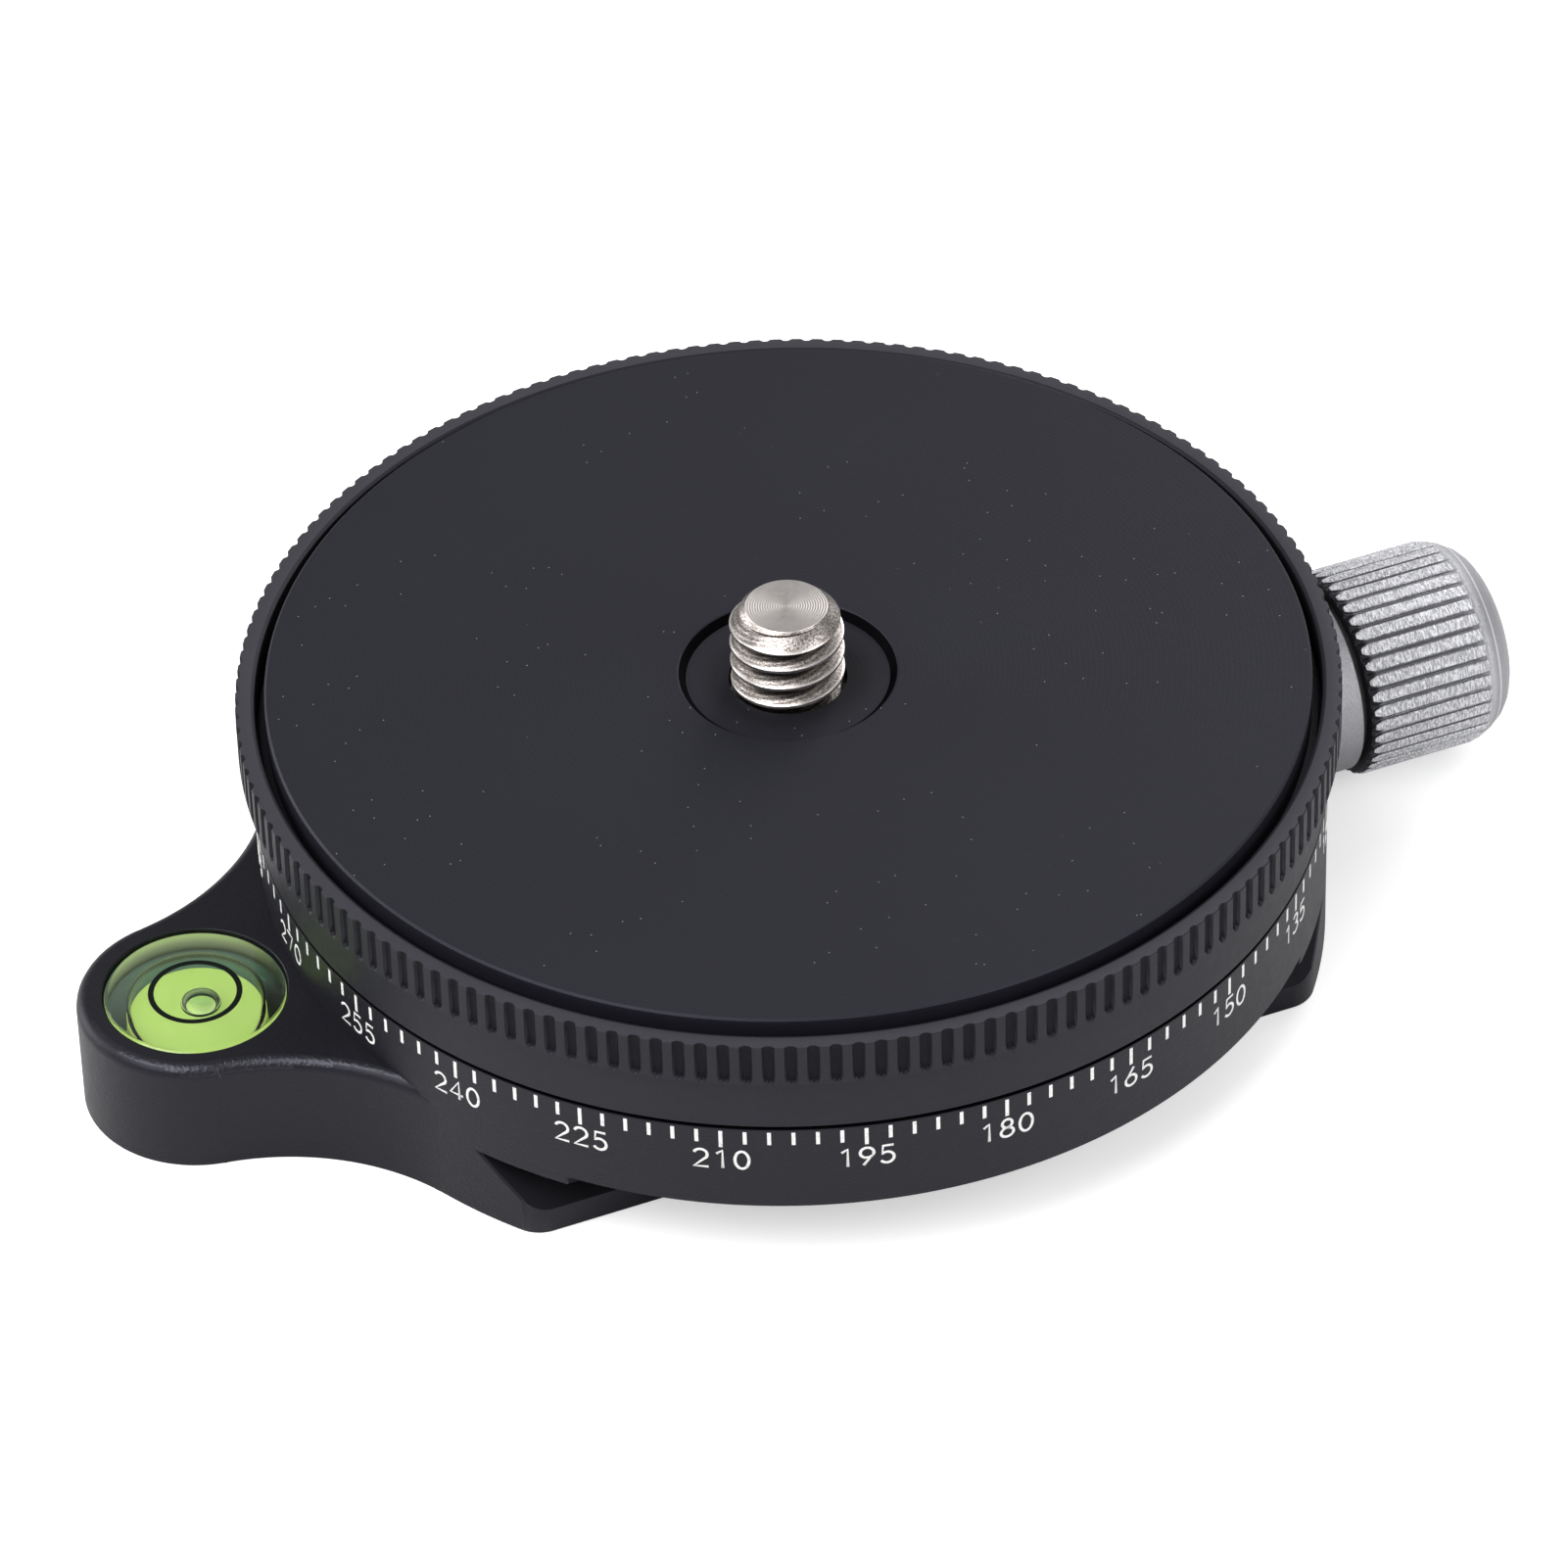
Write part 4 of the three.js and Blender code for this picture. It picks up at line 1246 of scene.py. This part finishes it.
knob_radius = 6.0
knob_root = 5.76
knob_flutes = 40
knob_steps = 16
knob_start = 30.15
knob_end = 42.9
neck_end = 33.0
lands_start = 33.35
point_length = 0.65
runout_start = 40.25
runout_end = 41.1
flute_half_steps = 3
knob_levels = [
    (5.8, lands_start),
    (5.96, lands_start + 0.12),
    (knob_radius, lands_start + 0.3),
    (knob_radius, lands_start + point_length),
    (knob_radius, 36.5),
    (knob_radius, runout_start),
    (5.9, 40.75),
    (5.75, runout_end),
    (5.62, 41.4),
    (5.55, 41.5),
    (5.2, 42.05),
    (4.8, 42.42),
    (4.3, 42.7),
    (3.9, 42.84),
    (3.4, knob_end),
]
knob_profile = [
    (2.6, 38.15),
    (2.6, knob_start),
    (5.15, knob_start),
    (5.5, knob_start + 0.35),
    (5.5, neck_end - 0.1),
    (5.4, neck_end),
    (5.0, neck_end + 0.02),
    (5.0, lands_start),
    *knob_levels,
]


def knob_column(vertex):
    """How many steps a knob vertex lies from the bottom of its flute."""
    angle = math.atan2(vertex.co.y, vertex.co.x)
    step = round(angle / (2 * math.pi) * knob_flutes * knob_steps) % knob_steps
    return min(step, knob_steps - step)


knob = turn("knob", knob_profile, knob_flutes * knob_steps)
for radius, height in knob_levels:
    point = max(0, 1 - (height - lands_start) / point_length)
    half = flute_half_steps + point * (knob_steps / 2 - 1 - flute_half_steps)
    runout = min(1, max(0, height - runout_start) / (runout_end - runout_start))
    root = knob_root - 0.1 * point + (radius - knob_root) * runout
    for column in range(knob_steps // 2):
        wall = root + (radius - root) * column / half
        if wall < radius - 0.001:
            sink_columns(knob, height, column, radius - wall, radius, knob_column)
lay_along_lock(knob)
smooth(knob, 24)


def silver_knob():
    """Clear anodised aluminium, blasted coarse: the lands are pitted, the neck and rim finer."""
    shader = Shader("silver_knob")
    x, y, z = shader.axes()
    height = z - lock_height
    reach = (y * y + height * height) ** 0.5
    lands = x.above(lands_start + 0.02, 0.08) * x.below(runout_end + 0.1, 0.4)
    crest = lands * reach.above(knob_radius - 0.12, 0.1)
    root = lands * reach.below(knob_root + 0.03, 0.05) * x.below(40.7, 0.3)
    tips = x.above(lands_start, 0.04) * x.below(lands_start + 0.55, 0.4)
    valley = tips * reach.below(knob_radius - 0.07, 0.06)
    lip_highlight = x.above(41.5, 0.06) * x.below(41.62, 0.06)
    gap = x.above(neck_end + 0.01, 0.04) * x.below(lands_start + 0.01, 0.04)
    pits = shader.noise(0.24, 3)
    grain = shader.noise(0.09, 3)
    chatter = shader.noise(0.1, 2, shader.stretched(1, 3.5, 3.5))
    relief = (pits * 0.6 + chatter) * crest + grain * 0.3
    bright = chatter.above(0.5, 0.14) * crest * 0.5 + pits * 0.35 + grain * 0.3
    base = shader.mix(bright, tint(0.24, 0.24, 0.258), tint(0.84, 0.84, 0.88))
    base = shader.mix((1 - lands) * (x.above(40, 1) * 0.15 + 0.5), base, tint(0.25, 0.25, 0.265))
    # The crests of the pointed tips are painted lighter: a painted highlight.
    base = shader.mix(tips * crest * 0.5, base, tint(0.9, 0.9, 0.93))
    # The flute roots, the valleys between the pointed tips and the gap before the lands are painted
    # near black: painted shade.
    base = shader.mix(root * 0.85, base, tint(0.02, 0.02, 0.025))
    base = shader.mix(valley * 0.85, base, tint(0.015, 0.015, 0.022))
    # A thin ring at the rim is painted light: a painted highlight.
    base = shader.mix(lip_highlight * 0.45, base, tint(0.92, 0.92, 0.94))
    base = shader.mix(gap * 0.85, base, tint(0.012, 0.012, 0.014))
    return shader.finish(
        Base_Color=base,
        Metallic=0.75,
        Roughness=pits * 0.2 + 0.32,
        Normal=shader.bump(relief, 0.16),
    )


knob.data.materials.append(silver_knob())
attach(knob, "knob")
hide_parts("lock_knob")
dress(brass, "lock_bush", "brake_shoe")
dress(hidden_steel, "lock_screw")


# Studio. A white floor under the base, soft lamps around it, and the camera at the photograph's own
# angle: a long lens from above, in front of the 200 degree mark.

def floor_paper():
    """White paper that the camera sees as white, and that keeps the shadow."""
    shader = Shader("floor_paper")
    path = shader.node("ShaderNodeLightPath", out="Is Camera Ray")
    fibre = shader.noise(40, 3)
    base = shader.mix(fibre, tint(0.86, 0.86, 0.86), tint(0.88, 0.88, 0.88))
    return shader.finish(
        Base_Color=base,
        Roughness=0.9,
        Specular_IOR_Level=0.0,
        Emission_Color=shader.mix(path, tint(0, 0, 0), tint(0.45, 0.45, 0.45)),
        Emission_Strength=1.0,
    )


bpy.ops.object.select_all(action="DESELECT")
bpy.ops.mesh.primitive_plane_add(size=6, location=(0, 0, -0.02 * mm))
bpy.ops.object.transform_apply()
floor = bpy.context.object
floor.name = "floor"
floor.data.materials.append(floor_paper())


def softbox(name, place, target, size, power):
    """A square soft lamp that faces a point. Places are in millimetres."""
    bpy.ops.object.select_all(action="DESELECT")
    bpy.ops.object.light_add(type="AREA", location=[value * mm for value in place])
    lamp = bpy.context.object
    lamp.name = name
    lamp.data.shape = "SQUARE"
    lamp.data.size = size * mm
    lamp.data.energy = power
    aim = Vector(target) - Vector(place)
    lamp.rotation_euler = aim.to_track_quat("-Z", "Y").to_euler()


softbox("key_lamp", (-380, -120, 560), (0, 0, 10), size=560, power=5.0)
softbox("fill_lamp", (320, -480, 330), (0, 0, 10), size=480, power=2.1)
softbox("back_lamp", (460, 330, 330), (0, 0, 10), size=400, power=1.45)
softbox("edge_lamp", (-470, 430, 190), (0, 0, 10), size=380, power=2.0)

surround_light = 0.42  # what lights the object, beside the full white that is seen
surround = Shader("studio", world=True)
seen = surround.node("ShaderNodeLightPath", out="Is Camera Ray")
seen_through = surround.node("ShaderNodeLightPath", out="Is Transmission Ray")
shown = surround.node("ShaderNodeMath", {"operation": "MAXIMUM"}, {0: seen, 1: seen_through})
strength = shown * (1 - surround_light) + surround_light
sky = surround.node("ShaderNodeBackground", None, {"Strength": strength})
surround.node("ShaderNodeOutputWorld", None, {"Surface": sky})
bpy.context.scene.world = surround.owner

azimuth = math.radians(-111.592)
elevation = math.radians(40.451)
roll = math.radians(-1.749)
camera_distance = 521.6
aim_height = 10.15
right = Vector((-math.sin(azimuth), math.cos(azimuth), 0))
level_back = Vector((math.cos(azimuth), math.sin(azimuth), 0))
back = level_back * math.cos(elevation) + Vector((0, 0, math.sin(elevation)))
up = back.cross(right)
rolled_right = right * math.cos(roll) + up * math.sin(roll)
rolled_up = up * math.cos(roll) - right * math.sin(roll)
place = Vector((0, 0, aim_height)) + back * camera_distance
place = place - rolled_right * 0.39 - rolled_up * 0.51
bpy.ops.object.select_all(action="DESELECT")
bpy.ops.object.camera_add()
camera = bpy.context.object
camera.name = "camera"
camera.data.lens = 213.98
camera.data.sensor_width = 36
camera.data.clip_start = 10 * mm
camera.data.clip_end = 20
turned = Matrix((rolled_right, rolled_up, back)).transposed().to_4x4()
camera.matrix_world = Matrix.Translation(place * mm) @ turned
bpy.context.scene.camera = camera
bpy.context.scene.view_settings.view_transform = "Standard"
